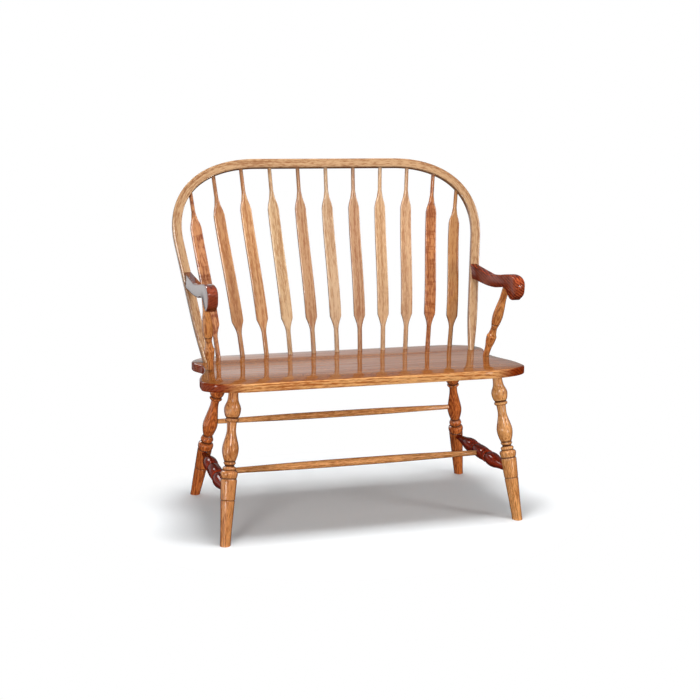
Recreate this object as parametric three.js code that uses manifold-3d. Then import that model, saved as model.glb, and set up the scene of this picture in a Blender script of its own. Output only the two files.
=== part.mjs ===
// A two-seat bow-back bench in oak. A flat plank seat carries a bent bow with eleven
// arrow slats, two sawn arms on turned posts, and four splayed turned legs that are
// tied by turned stretchers. Millimetres, +Z up, the front faces -Y, and left and
// right are as seen from the front. Sizes are taken from the seat's rear edge and the
// floor, and the finished bench is moved so that its origin is under its middle.
import * as THREE from "three";
import { mergeVertices } from "three/addons/utils/BufferGeometryUtils.js";
import Module from "manifold-3d";

const wasm = await Module();
wasm.setup();

// Fits and fineness
const clearance = 0.3; // between a round end and its socket, and at every glue line
const overrun = 6; // how far a cutter runs past the face that it opens
const turningSides = 12; // flats round a turned piece
const turningStep = 20; // longest step along a smooth turned curve
const boreSides = 10; // flats round a socket
const fastenerSides = 10; // flats round a screw or a plug
const curveSteps = 6; // steps in each curve of the seat's outline

// Seat
const seatHeight = 457; // floor to the top of the seat
const seatThickness = 26;
const seatDepth = 432;
const seatHalfWidth = 493; // at the widest, near the front
const seatRearInset = 19; // how much narrower each rounded rear corner stands
const seatWaistInset = 39; // the same at the waist, just behind the arm posts
const seatRearCorner = 84; // rear edge to the widest point of the rear corner
const seatWaist = 160; // rear edge to the waist
const seatFrontCorner = 60; // front edge back to the widest point
const seatRearTurn = 129; // run of each rear corner's curve along the rear edge
const seatFrontTurn = 140; // run of each front corner's curve along the front edge
const seatRearPullShare = 0.33; // how far the rear corner keeps its side's direction
const seatEase = 5; // rounding of the top and bottom edges
const seatEaseSteps = 2;
const boardPastBow = 23; // from the bow's feet to the first glue line in front of them
const boardPastPost = 26; // from the arm posts' feet to the second
const boardBehindLeg = 30; // from the front legs' tops back to the third

// Bow, drawn in its own leaning plane: across, and up along the plane
const bowWidth = 30; // seen from the front
const bowDepth = 20; // front to back
const bowLeanDegrees = 20.3;
const bowSetForward = 95; // seat's rear edge to the bow's plane at the seat
const bowFootInset = 42.5; // inside the widest of the rear corners
const bowShoulderFlare = 57; // how far the shoulder stands outside the foot
const bowShoulderRise = 374;
const bowCornerSpan = 260.5; // sideways run of each corner's curve
const bowCornerRise = 252.5;
const bowShoulderPull = 152; // how far the corner curve keeps the side's direction
const bowCrownPull = 185; // how far it keeps the crown's direction
const bowFootRadius = 10.5;
const bowFootTaper = 134; // run over which the round foot grows to the full section
const bowTenonLength = 15;
const bowSectionSides = 12;
const bowTaperSteps = 4;
const bowSideSteps = 3;
const bowCornerSteps = 10;
const bowCrownSteps = 2;

// Arrow slats
const slatCount = 11;
const slatFootStepShare = 0.1773; // between feet, over the half span of the bow's feet
const slatTopStepShare = 0.1894; // between tops along the bow, over its shoulders' half span
const slatSetForward = 28; // seat's rear edge to the row of feet
const slatFootRadius = 7.5;
const slatTopRadius = 6;
const slatPaddleWidth = 37;
const slatPaddleThickness = 11;
const slatBend = 10; // how far the slat swings to either side of a straight line
const slatTenonLength = 11;
const slatSectionSides = 8;

// Legs, from the floor to the underside of the seat
const legRadius = 24.7; // at the widest turning
const legGroundShare = 4; // width of the floor that cuts a foot, over the leg's radius
const legTenonLength = 12;
const frontTopInset = 91; // inside the widest of the seat's front
const frontTopSetback = 52; // behind the seat's front edge
const frontSplayOut = 45;
const frontSplayForward = 82;
const rearTopInset = 98; // inside the widest of the rear corners
const rearTopSet = 62; // in front of the seat's rear edge
const rearSplayOut = 76;
const rearSplayBack = 105;

// Stretchers
const sideStretcherHeight = 144;
const sideStretcherRadius = 22.6;
const sideStretcherTenon = 14; // depth of each end in its leg
const sideStretcherEdgeShare = 0.86; // leg's face at this height, over its radius
const middleStretcherRadius = 12.5;
const middleStretcherTenon = 12;
const middleStretcherEdgeShare = 0.95; // side stretcher's face, over its radius
const rearStretcherHeight = 250;
const rearStretcherRadius = 11.3;
const rearStretcherTenon = 13;
const rearStretcherEdgeShare = 0.92; // leg's face at this height, over its radius

// Arms, drawn from the side: forward from the rear end, and up from the scroll's tip
const armTipHeight = 198; // seat top to the lowest point of the scroll
const armRise = 74; // scroll's tip to its crest
const armRearSet = -15; // where the blank starts, behind the seat's rear edge
const armLength = 418; // blank's rear end to the nose of the scroll
const armToeIn = 9; // how far the nose stands inside the rear end
const armRearWidth = 22;
const armNoseWidth = 30;
const armEase = 4; // rounding of the arm's long edges
const armEaseSteps = 2;
const armCurveSteps = 22;
const armHookSteps = 12;

// Arm posts, from the seat to the underside of the arm
const postRadius = 16.3;
const postFootInset = 56; // inside the widest of the seat's front
const postLeanForward = 82; // its top stands in front of its foot
const postTopAlongShare = 0.727; // along the arm, from its rear end
const postTopRiseShare = 0.31; // up the arm's rise
const postTenonLength = 14;

// Screw and plug that hold each arm on the bow
const armScrewRise = 234; // seat top to the screw's middle
const screwHeadRadius = 4.2;
const screwHeadLength = 3;
const screwShankRadius = 2.2;
const screwShankLength = 38;
const plugRadius = 4.8;
const plugLength = 4.5;

// Turned outlines, from the lower end up: shares of the length and of the widest
// radius. Each inner list is one run: two points are straight, more are a smooth curve.
const frontLegShares = [
  [[0, 0.62], [0.12, 0.69], [0.285, 0.845]],
  [[0.285, 0.845], [0.291, 0.8], [0.297, 0.855]],
  [[0.297, 0.855], [0.42, 0.965]],
  [[0.42, 0.965], [0.43, 0.885], [0.439, 0.94], [0.461, 1.02], [0.474, 0.96], [0.482, 0.74]],
  [[0.482, 0.74], [0.496, 0.8], [0.504, 0.72], [0.51, 0.54]],
  [[0.51, 0.54], [0.519, 0.6], [0.53, 0.725], [0.538, 0.645]],
  [[0.538, 0.645], [0.577, 0.87], [0.612, 0.965], [0.646, 0.915], [0.728, 0.565], [0.79, 0.58]],
  [[0.79, 0.58], [0.797, 0.74], [0.806, 0.83], [0.815, 0.76], [0.82, 0.7]],
  [[0.82, 0.7], [0.838, 0.88], [0.872, 0.99], [0.897, 0.915], [0.936, 0.65], [1, 0.565]],
];
const rearLegShares = [
  [[0, 0.61], [0.133, 0.735], [0.214, 0.8]],
  [[0.214, 0.8], [0.219, 0.76], [0.225, 0.815]],
  [[0.225, 0.815], [0.361, 0.93]],
  [[0.361, 0.93], [0.367, 0.86], [0.374, 0.93], [0.394, 0.99], [0.412, 0.93], [0.422, 0.66]],
  [[0.422, 0.66], [0.434, 0.76], [0.446, 0.825], [0.462, 0.72], [0.476, 0.6]],
  [[0.476, 0.6], [0.502, 0.765], [0.548, 0.935], [0.587, 0.9], [0.7, 0.55], [0.75, 0.545]],
  [[0.75, 0.545], [0.755, 0.7], [0.764, 0.81], [0.772, 0.71], [0.776, 0.64]],
  [[0.776, 0.64], [0.795, 0.865], [0.822, 0.96], [0.848, 0.9], [0.9, 0.64], [1, 0.56]],
];
const postShares = [
  [[0, 0.61], [0.12, 0.65], [0.21, 0.88]],
  [[0.21, 0.88], [0.29, 0.985], [0.302, 0.92]],
  [[0.302, 0.92], [0.345, 0.73], [0.42, 0.615], [0.47, 0.77]],
  [[0.47, 0.77], [0.48, 0.74], [0.49, 0.84]],
  [[0.49, 0.84], [0.6, 1], [0.73, 0.87], [0.86, 0.67], [1, 0.68]],
];
const halfSideStretcherShares = [
  [[0, 0.42], [0.1, 0.45], [0.29, 0.66], [0.46, 0.93], [0.56, 1], [0.64, 0.94], [0.73, 0.71]],
  [[0.73, 0.71], [0.745, 0.85], [0.77, 0.93], [0.795, 0.85], [0.81, 0.74]],
  [[0.81, 0.74], [0.83, 0.86], [0.9, 0.95], [1, 0.97]],
];
const halfRodShares = [
  [[0, 0.69], [0.3, 0.83]],
  [[0.3, 0.83], [0.62, 0.97]],
  [[0.62, 0.97], [1, 1]],
];

// Arm's outline seen from the side: shares of its length and of its rise
const armTopShares = [
  [0, 0.95],
  [0.2, 0.84],
  [0.36, 0.763],
  [0.462, 0.73],
  [0.624, 0.83],
  [0.754, 0.94],
  [0.86, 1],
  [0.945, 0.95],
  [0.99, 0.8],
  [1, 0.6],
  [0.985, 0.26],
  [0.915, 0],
];
const armHookShares = [
  [0.882, 0.01],
  [0.835, 0.15],
  [0.785, 0.355],
  [0.7, 0.38],
  [0.58, 0.27],
  [0.41, 0.23],
  [0.22, 0.265],
  [0, 0.29],
];

// Slat: stations along its length. Its ends are round, and the paddle between them is
// given by its half width as a share of the widest, and by how square its section is,
// from 0 for round to 1 for flat.
const slatFootShares = [0, 0.06, 0.118];
const slatPaddleShares = [
  [0.14, 0.5, 0.4],
  [0.163, 0.72, 0.8],
  [0.185, 0.98, 1],
  [0.33, 1, 1],
  [0.45, 0.99, 1],
  [0.57, 0.98, 1],
  [0.69, 0.97, 1],
  [0.765, 0.95, 1],
  [0.79, 0.8, 0.9],
  [0.82, 0.52, 0.5],
];
const slatNeckShares = [0.86, 0.93, 1];
const roundPowerShare = 1; // power of the section's curve where it is round
const flatPowerShare = 0.28; // the same where it is a flat board with eased edges

const up = new THREE.Vector3(0, 1, 0); // a turned piece is drawn along +Y
const across = new THREE.Vector3(1, 0, 0);
const seatUnderside = seatHeight - seatThickness;
const postTopSet = armRearSet + armLength * postTopAlongShare;
const postFootSet = postTopSet - postLeanForward;
const seatRearHalfWidth = seatHalfWidth - seatRearInset;
const seatWaistHalfWidth = seatHalfWidth - seatWaistInset;
const seatFrontWidest = seatDepth - seatFrontCorner;
const bowFootHalfSpan = seatRearHalfWidth - bowFootInset;
const bowShoulderHalfSpan = bowFootHalfSpan + bowShoulderFlare;
const bowCrownHalfSpan = bowShoulderHalfSpan - bowCornerSpan;
const bowCrownRise = bowShoulderRise + bowCornerRise;

function mix(a, b, t) {
  return THREE.MathUtils.lerp(a, b, t);
}

// Solids

function solidOf(geometry) {
  const bare = new THREE.BufferGeometry();
  bare.setAttribute("position", geometry.getAttribute("position").clone());
  bare.setIndex(geometry.index);
  const merged = mergeVertices(bare);
  const vertProperties = new Float32Array(merged.attributes.position.array);
  const triVerts = new Uint32Array(merged.index.array);
  return new wasm.Manifold(new wasm.Mesh({ numProp: 3, vertProperties, triVerts }));
}

function geometryOf(solid) {
  const made = solid.getMesh();
  const indexed = new THREE.BufferGeometry();
  indexed.setAttribute("position", new THREE.BufferAttribute(made.vertProperties, made.numProp));
  indexed.setIndex(new THREE.BufferAttribute(made.triVerts, 1));
  const geometry = indexed.toNonIndexed();
  geometry.computeVertexNormals();
  return geometry;
}

function cutFrom(geometry, cutters) {
  const whole = solidOf(geometry);
  return geometryOf(cutters.reduce((left, cutter) => left.subtract(solidOf(cutter)), whole));
}

// Cutters are given in the bench's frame, and the mesh may stand anywhere in it.
function carve(mesh, cutters) {
  mesh.updateMatrix();
  const toMesh = mesh.matrix.clone().invert();
  const local = cutters.map((cutter) => cutter.clone().applyMatrix4(toMesh));
  mesh.geometry = cutFrom(mesh.geometry, local);
}

function mirrored(geometry) {
  const copy = geometry.clone().applyMatrix4(new THREE.Matrix4().makeScale(-1, 1, 1));
  const index = copy.index.array;
  for (let i = 0; i < index.length; i += 3) {
    [index[i + 1], index[i + 2]] = [index[i + 2], index[i + 1]];
  }
  return copy;
}

function bothSides(cutters) {
  return [...cutters, ...cutters.map(mirrored)];
}

// A round rod between two points.
function rod(radius, from, to, sides) {
  const span = new THREE.Vector3().subVectors(to, from);
  const geometry = new THREE.CylinderGeometry(radius, radius, span.length(), sides);
  geometry.applyQuaternion(new THREE.Quaternion().setFromUnitVectors(up, span.normalize()));
  return geometry.translate(...mixPoints(from, to, 1 / 2).toArray());
}

function mixPoints(a, b, t) {
  return new THREE.Vector3().lerpVectors(a, b, t);
}

// A socket for a round end: its flats lie a clearance away from the end.
function socket(radius, end, mouth) {
  const inward = new THREE.Vector3().subVectors(end, mouth).normalize();
  const boreRadius = (radius + clearance) / Math.cos(Math.PI / boreSides);
  const bottom = end.clone().addScaledVector(inward, clearance);
  const opening = mouth.clone().addScaledVector(inward, -overrun);
  return rod(boreRadius, bottom, opening, boreSides);
}

// A closed skin over rings of points. Each ring runs counterclockwise about the
// direction of travel.
function loft(rings) {
  const sides = rings[0].length;
  const positions = rings.flat().flatMap((point) => point.toArray());
  const index = [];
  for (let i = 0; i + 1 < rings.length; i += 1) {
    for (let j = 0; j < sides; j += 1) {
      const next = (j + 1) % sides;
      const a = i * sides + j;
      const b = i * sides + next;
      index.push(a, b, b + sides, a, b + sides, a + sides);
    }
  }
  const last = (rings.length - 1) * sides;
  for (let j = 1; j + 1 < sides; j += 1) {
    index.push(0, j + 1, j, last, last + j, last + j + 1);
  }
  const geometry = new THREE.BufferGeometry();
  geometry.setAttribute("position", new THREE.Float32BufferAttribute(positions, 3));
  geometry.setIndex(index);
  return geometry;
}

// A section that is round at power 1 and a board with eased edges at a small power.
function sectionRing({ centre, tangent, sideways, halfWidth, halfDepth, power, sides }) {
  const forward = new THREE.Vector3().crossVectors(tangent, sideways).normalize();
  const bent = (value) => Math.sign(value) * Math.abs(value) ** power;
  return Array.from({ length: sides }, (_, k) => {
    const angle = ((k + 1 / 2) * 2 * Math.PI) / sides;
    return centre
      .clone()
      .addScaledVector(sideways, halfWidth * bent(Math.cos(angle)))
      .addScaledVector(forward, halfDepth * bent(Math.sin(angle)));
  });
}

// Turned outlines

// Points of a turned outline, as radius and height, from runs of shares.
function turnedOutline(runShares, length, radius) {
  const points = [];
  for (const run of runShares) {
    const sized = run.map(([h, r]) => new THREE.Vector2(r * radius, h * length));
    const spaced = Math.round((sized[sized.length - 1].y - sized[0].y) / turningStep);
    const smooth = run.length > 2;
    const steps = Math.max(run.length - 1, spaced);
    const drawn = smooth ? new THREE.SplineCurve(sized).getPoints(steps) : sized;
    points.push(...(points.length ? drawn.slice(1) : drawn));
  }
  return points;
}

// The outline closed on the axis, with a straight tenon at each end.
function turnedGeometry(outline, lowerTenon, upperTenon) {
  const first = outline[0];
  const last = outline[outline.length - 1];
  const low = first.y - lowerTenon;
  const high = last.y + upperTenon;
  const closed = [
    new THREE.Vector2(0, low),
    new THREE.Vector2(first.x, low),
    ...outline,
    new THREE.Vector2(last.x, high),
    new THREE.Vector2(0, high),
  ];
  return new THREE.LatheGeometry(closed, turningSides);
}

// The same half outline from both ends to the middle.
function doubled(half, length) {
  const other = half.slice(0, -1).reverse();
  return [...half, ...other.map((point) => new THREE.Vector2(point.x, length - point.y))];
}

function wood(color, roughness) {
  return new THREE.MeshStandardMaterial({ color, roughness, metalness: 0 });
}

const honeyOak = wood("#b9793d", 0.32);
const paleOak = wood("#c9965d", 0.34);
const slatOak = wood("#b8783f", 0.34);
const seatOak = wood("#8d5c37", 0.24);
const redOak = wood("#7a2f1c", 0.3);
const darkOak = wood("#5d2216", 0.3);
const steel = new THREE.MeshStandardMaterial({ color: "#a5a8aa", roughness: 0.4, metalness: 1 });

function piece(name, geometry, material) {
  const mesh = new THREE.Mesh(geometry, material.clone());
  mesh.name = name;
  return mesh;
}

// A turned piece standing between two points, with its tenons beyond them.
function turnedPiece(name, from, to, makeOutline, tenons, material) {
  const span = new THREE.Vector3().subVectors(to, from);
  const outline = makeOutline(span.length());
  const mesh = piece(name, turnedGeometry(outline, ...tenons), material);
  mesh.position.copy(from);
  mesh.quaternion.setFromUnitVectors(up, span.clone().normalize());
  const along = span.normalize();
  mesh.userData.ends = {
    lowRadius: outline[0].x,
    low: from.clone().addScaledVector(along, -tenons[0]),
    lowMouth: from,
    highRadius: outline[outline.length - 1].x,
    high: to.clone().addScaledVector(along, tenons[1]),
    highMouth: to,
  };
  return mesh;
}

function lowSocket({ userData: { ends } }) {
  return socket(ends.lowRadius, ends.low, ends.lowMouth);
}

function highSocket({ userData: { ends } }) {
  return socket(ends.highRadius, ends.high, ends.highMouth);
}

// Legs

const onAxis = (foot, top, height) => mixPoints(foot, top, height / seatUnderside);
const frontTop = new THREE.Vector3(
  seatHalfWidth - frontTopInset,
  frontTopSetback - seatDepth,
  seatUnderside,
);
const frontFoot = new THREE.Vector3(
  frontTop.x + frontSplayOut,
  frontTop.y - frontSplayForward,
  0,
);
const rearTop = new THREE.Vector3(
  seatRearHalfWidth - rearTopInset,
  -rearTopSet,
  seatUnderside,
);
const rearFoot = new THREE.Vector3(rearTop.x + rearSplayOut, rearTop.y + rearSplayBack, 0);

// The leg is turned a little long at the foot, and the floor cuts it flat.
function leg(name, foot, top, shares) {
  const outline = (length) => turnedOutline(shares, length, legRadius);
  const mesh = turnedPiece(name, foot, top, outline, [overrun, legTenonLength], honeyOak);
  const reach = legRadius * legGroundShare;
  const ground = new THREE.BoxGeometry(reach, reach, reach);
  carve(mesh, [ground.translate(foot.x, foot.y, -reach / 2)]);
  return mesh;
}

const frontLeg = leg("leg_front_right", frontFoot, frontTop, frontLegShares);
const rearLeg = leg("leg_rear_right", rearFoot, rearTop, rearLegShares);

// Stretchers

// A stretcher runs from one axis to the other, and its outline starts and ends where
// its tenons enter the two pieces that it ties.
function stretcher(name, from, to, edge, radius, halfShares, tenon, material) {
  const along = new THREE.Vector3().subVectors(to, from).normalize();
  const start = from.clone().addScaledVector(along, edge);
  const stop = to.clone().addScaledVector(along, -edge);
  const outline = (length) => doubled(turnedOutline(halfShares, length / 2, radius), length);
  return turnedPiece(name, start, stop, outline, [tenon, tenon], material);
}

const sideStretcher = stretcher(
  "side_stretcher_right",
  onAxis(frontFoot, frontTop, sideStretcherHeight),
  onAxis(rearFoot, rearTop, sideStretcherHeight),
  legRadius * sideStretcherEdgeShare,
  sideStretcherRadius,
  halfSideStretcherShares,
  sideStretcherTenon,
  darkOak,
);
const sideMiddle = mixPoints(
  sideStretcher.userData.ends.low,
  sideStretcher.userData.ends.high,
  1 / 2,
);
const middleStretcher = stretcher(
  "middle_stretcher",
  sideMiddle.clone().reflect(across),
  sideMiddle,
  sideStretcherRadius * middleStretcherEdgeShare,
  middleStretcherRadius,
  halfRodShares,
  middleStretcherTenon,
  honeyOak,
);
const rearStretcherEnd = onAxis(rearFoot, rearTop, rearStretcherHeight);
const rearStretcher = stretcher(
  "rear_stretcher",
  rearStretcherEnd.clone().reflect(across),
  rearStretcherEnd,
  legRadius * rearStretcherEdgeShare,
  rearStretcherRadius,
  halfRodShares,
  rearStretcherTenon,
  honeyOak,
);

carve(frontLeg, [lowSocket(sideStretcher)]);
carve(rearLeg, [highSocket(sideStretcher), highSocket(rearStretcher)]);
carve(sideStretcher, [highSocket(middleStretcher)]);

// Bow

const bowLean = THREE.MathUtils.degToRad(bowLeanDegrees);
const bowUp = new THREE.Vector3(0, Math.sin(bowLean), Math.cos(bowLean));
const bowFront = new THREE.Vector3().crossVectors(across, bowUp);
const bowFrame = new THREE.Matrix4()
  .makeBasis(across, bowUp, bowFront)
  .setPosition(0, -bowSetForward, seatHeight);

// Centre line of the bow's right half, from the foot to the middle of the crown.
function bowHalfCurve() {
  const foot = new THREE.Vector3(bowFootHalfSpan, 0, 0);
  const shoulder = new THREE.Vector3(bowShoulderHalfSpan, bowShoulderRise, 0);
  const crownEnd = new THREE.Vector3(bowCrownHalfSpan, bowCrownRise, 0);
  const crown = new THREE.Vector3(0, bowCrownRise, 0);
  const side = new THREE.Vector3().subVectors(shoulder, foot).normalize();
  const path = new THREE.CurvePath();
  path.add(new THREE.LineCurve3(foot, shoulder));
  path.add(
    new THREE.CubicBezierCurve3(
      shoulder,
      shoulder.clone().addScaledVector(side, bowShoulderPull),
      crownEnd.clone().addScaledVector(across, bowCrownPull),
      crownEnd,
    ),
  );
  path.add(new THREE.LineCurve3(crownEnd, crown));
  return path;
}

const bowHalf = bowHalfCurve();
const [bowSide, bowCorner, bowCrown] = bowHalf.curves;

function bowStations() {
  const sideLength = bowSide.getLength();
  const taperEnd = bowFootTaper / sideLength;
  const steps = (count, from, to) =>
    Array.from({ length: count }, (_, k) => mix(from, to, k / count));
  const along = (curve, shares) =>
    shares.map((t) => ({ point: curve.getPoint(t), tangent: curve.getTangent(t) }));
  return [
    { point: bowSide.getPoint(-bowTenonLength / sideLength), tangent: bowSide.getTangent(0) },
    ...along(bowSide, steps(bowTaperSteps, 0, taperEnd)),
    ...along(bowSide, steps(bowSideSteps, taperEnd, 1)),
    ...along(bowCorner, steps(bowCornerSteps, 0, 1)),
    ...along(bowCrown, steps(bowCrownSteps, 0, 1)),
  ];
}

function bowRing({ point, tangent }) {
  const grown = THREE.MathUtils.clamp(point.y / bowFootTaper, 0, 1);
  const eased = Math.sin((grown * Math.PI) / 2);
  return sectionRing({
    centre: point,
    tangent,
    sideways: new THREE.Vector3(tangent.y, -tangent.x, 0),
    halfWidth: mix(bowFootRadius, bowWidth / 2, eased),
    halfDepth: mix(bowFootRadius, bowDepth / 2, eased),
    power: mix(roundPowerShare, flatPowerShare, eased),
    sides: bowSectionSides,
  });
}

function bowGeometry() {
  const right = bowStations();
  const crown = { point: bowCrown.getPoint(1), tangent: bowCrown.getTangent(1) };
  const left = right.map(({ point, tangent }) => ({
    point: point.clone().reflect(across),
    tangent: new THREE.Vector3(tangent.x, -tangent.y, 0),
  }));
  return loft([...right, crown, ...left.reverse()].map(bowRing)).applyMatrix4(bowFrame);
}

const bowFootEnd = bowSide.getPoint(0).applyMatrix4(bowFrame);
const bowFootAlong = bowSide.getTangent(0).transformDirection(bowFrame);
const bowSocket = socket(
  bowFootRadius,
  bowFootEnd.clone().addScaledVector(bowFootAlong, -bowTenonLength),
  bowFootEnd,
);

// Arrow slats

// Point of the bow's centre line at a distance along it from the crown's middle.
function pointOnBow(distance) {
  const half = bowHalf.getLength();
  const point = bowHalf.getPointAt(1 - Math.abs(distance) / half);
  point.x *= Math.sign(distance);
  return point.applyMatrix4(bowFrame);
}

function slatPlace(number) {
  const step = number - (slatCount - 1) / 2;
  const footAcross = step * slatFootStepShare * bowFootHalfSpan;
  return {
    foot: new THREE.Vector3(footAcross, -slatSetForward, seatHeight),
    top: pointOnBow(step * slatTopStepShare * bowShoulderHalfSpan),
  };
}

// The slat swings forward below its middle and backward above it.
function slatCurve({ foot, top }) {
  const chord = new THREE.Vector3().subVectors(top, foot);
  const sideways = new THREE.Vector3().crossVectors(chord, bowFront).normalize();
  const forward = new THREE.Vector3().crossVectors(sideways, chord).normalize();
  const turn = 2 * Math.PI;
  const point = (t) =>
    mixPoints(foot, top, t).addScaledVector(forward, slatBend * Math.sin(turn * t));
  const tangent = (t) =>
    chord.clone().addScaledVector(forward, slatBend * turn * Math.cos(turn * t)).normalize();
  return { point, tangent, sideways };
}

function roundRing({ point, tangent, sideways }, t, shift) {
  const radius = mix(slatFootRadius, slatTopRadius, t);
  return sectionRing({
    centre: point(t).addScaledVector(tangent(t), shift),
    tangent: tangent(t),
    sideways,
    halfWidth: radius,
    halfDepth: radius,
    power: roundPowerShare,
    sides: slatSectionSides,
  });
}

function paddleRing({ point, tangent, sideways }, [t, widthShare, squareShare]) {
  const radius = mix(slatFootRadius, slatTopRadius, t);
  return sectionRing({
    centre: point(t),
    tangent: tangent(t),
    sideways,
    halfWidth: (slatPaddleWidth / 2) * widthShare,
    halfDepth: mix(radius, slatPaddleThickness / 2, squareShare),
    power: mix(roundPowerShare, flatPowerShare, squareShare),
    sides: slatSectionSides,
  });
}

function slat(number) {
  const curve = slatCurve(slatPlace(number));
  const rings = [
    roundRing(curve, 0, -slatTenonLength),
    ...slatFootShares.map((t) => roundRing(curve, t, 0)),
    ...slatPaddleShares.map((station) => paddleRing(curve, station)),
    ...slatNeckShares.map((t) => roundRing(curve, t, 0)),
  ];
  const name = `arrow_slat_${String(number + 1).padStart(2, "0")}`;
  const foot = curve.point(0);
  const top = curve.point(1);
  const footEnd = foot.clone().addScaledVector(curve.tangent(0), -slatTenonLength);
  const topMouth = top.clone().addScaledVector(curve.tangent(1), -bowWidth);
  return {
    mesh: piece(name, loft(rings), slatOak),
    footSocket: socket(slatFootRadius, footEnd, foot),
    topSocket: socket(slatTopRadius, top, topMouth),
  };
}

const slats = Array.from({ length: slatCount }, (_, number) => slat(number));

// Arms

// The arm's rear end stands in line with the bow's side, where its screw is.
const screwUp = armScrewRise / Math.cos(bowLean);
const screwAcross = mix(bowFootHalfSpan, bowShoulderHalfSpan, screwUp / bowShoulderRise);

function armMiddle(forward) {
  return screwAcross - (armToeIn * forward) / armLength;
}

function armShape() {
  const sized = (shares) =>
    shares.map(([f, h]) => new THREE.Vector2(f * armLength, h * armRise));
  const top = new THREE.SplineCurve(sized(armTopShares)).getPoints(armCurveSteps);
  const hook = new THREE.SplineCurve(sized(armHookShares)).getPoints(armHookSteps);
  return new THREE.Shape([...top, ...hook]);
}

// The side outline is cut from a board, eased along its edges, and its plan widens
// from the bow to the scroll while it comes inward.
function armGeometry() {
  const board = new THREE.ExtrudeGeometry(armShape(), {
    depth: armNoseWidth - 2 * armEase,
    steps: 1,
    bevelThickness: armEase,
    bevelSize: armEase,
    bevelOffset: -armEase,
    bevelSegments: armEaseSteps,
  });
  board.translate(0, 0, armEase - armNoseWidth / 2);
  const position = board.getAttribute("position");
  for (let i = 0; i < position.count; i += 1) {
    const forward = position.getX(i);
    const height = position.getY(i);
    const sideways = position.getZ(i) / armNoseWidth;
    const width = mix(armRearWidth, armNoseWidth, forward / armLength);
    position.setXYZ(
      i,
      armMiddle(forward) - sideways * width,
      -armRearSet - forward,
      seatHeight + armTipHeight + height,
    );
  }
  return board;
}

const post = turnedPiece(
  "arm_post_right",
  new THREE.Vector3(seatHalfWidth - postFootInset, -postFootSet, seatHeight),
  new THREE.Vector3(
    armMiddle(postTopSet - armRearSet),
    -postTopSet,
    seatHeight + armTipHeight + armRise * postTopRiseShare,
  ),
  (length) => turnedOutline(postShares, length, postRadius),
  [postTenonLength, postTenonLength],
  honeyOak,
);

// Screw from the back of the bow into the arm, square to the bow's plane.
const plugBack = new THREE.Vector3(screwAcross, screwUp, -bowDepth / 2).applyMatrix4(bowFrame);
const alongScrew = (distance) => plugBack.clone().addScaledVector(bowFront, distance);
const headStart = plugLength + clearance;
const headEnd = headStart + screwHeadLength;
const screwEnd = headEnd + screwShankLength;

const plug = piece(
  "arm_plug_right",
  rod(plugRadius, alongScrew(0), alongScrew(plugLength), fastenerSides),
  paleOak,
);
const screwHead = rod(screwHeadRadius, alongScrew(headStart), alongScrew(headEnd), fastenerSides);
const screwShank = rod(screwShankRadius, alongScrew(headStart), alongScrew(screwEnd), fastenerSides);
const screw = piece(
  "arm_screw_right",
  geometryOf(solidOf(screwHead).add(solidOf(screwShank))),
  steel,
);
const counterbore = socket(plugRadius, alongScrew(headEnd), alongScrew(0));
const screwHole = socket(screwShankRadius, alongScrew(screwEnd), alongScrew(0));

// The bow's front face cuts the arm's rear end.
function bowFace() {
  const depth = armLength / 2;
  const block = new THREE.BoxGeometry(armLength, armLength, depth);
  block.translate(screwAcross, screwUp, bowDepth / 2 + clearance - depth / 2);
  return block.applyMatrix4(bowFrame);
}

const arm = piece("arm_right", armGeometry(), redOak);
carve(arm, [bowFace(), highSocket(post), screwHole]);

const bow = piece("bow", bowGeometry(), paleOak);
carve(bow, [...slats.map((each) => each.topSocket), ...bothSides([counterbore, screwHole])]);

// Seat

// Outline of the seat's right half in plan, from the middle of the rear edge to the
// middle of the front edge.
function seatOutline() {
  const half = new THREE.Path();
  const rearTurn = seatRearHalfWidth - seatRearTurn / 2;
  const waistTurn = (seatRearCorner + seatWaist) / 2;
  const hipTurn = (seatWaist + seatFrontWidest) / 2;
  const frontTurn = seatHalfWidth - seatFrontTurn / 2;
  const frontFall = (seatFrontWidest + seatDepth) / 2;
  half.moveTo(0, 0);
  half.lineTo(seatRearHalfWidth - seatRearTurn, 0);
  half.bezierCurveTo(
    rearTurn, 0,
    seatRearHalfWidth, -seatRearCorner * seatRearPullShare,
    seatRearHalfWidth, -seatRearCorner,
  );
  half.bezierCurveTo(
    seatRearHalfWidth, -waistTurn,
    seatWaistHalfWidth, -waistTurn,
    seatWaistHalfWidth, -seatWaist,
  );
  half.bezierCurveTo(
    seatWaistHalfWidth, -hipTurn,
    seatHalfWidth, -hipTurn,
    seatHalfWidth, -seatFrontWidest,
  );
  half.bezierCurveTo(
    seatHalfWidth, -frontFall,
    frontTurn, -seatDepth,
    seatHalfWidth - seatFrontTurn, -seatDepth,
  );
  half.lineTo(0, -seatDepth);
  const right = half.getPoints(curveSteps);
  const left = right.slice(1, -1).reverse();
  return [...right, ...left.map((point) => new THREE.Vector2(-point.x, point.y))].reverse();
}

function seatBlank() {
  const blank = new THREE.ExtrudeGeometry(new THREE.Shape(seatOutline()), {
    depth: seatThickness - 2 * seatEase,
    steps: 1,
    bevelThickness: seatEase,
    bevelSize: seatEase,
    bevelOffset: -seatEase,
    bevelSegments: seatEaseSteps,
  });
  return blank.translate(0, 0, seatUnderside + seatEase);
}

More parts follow.
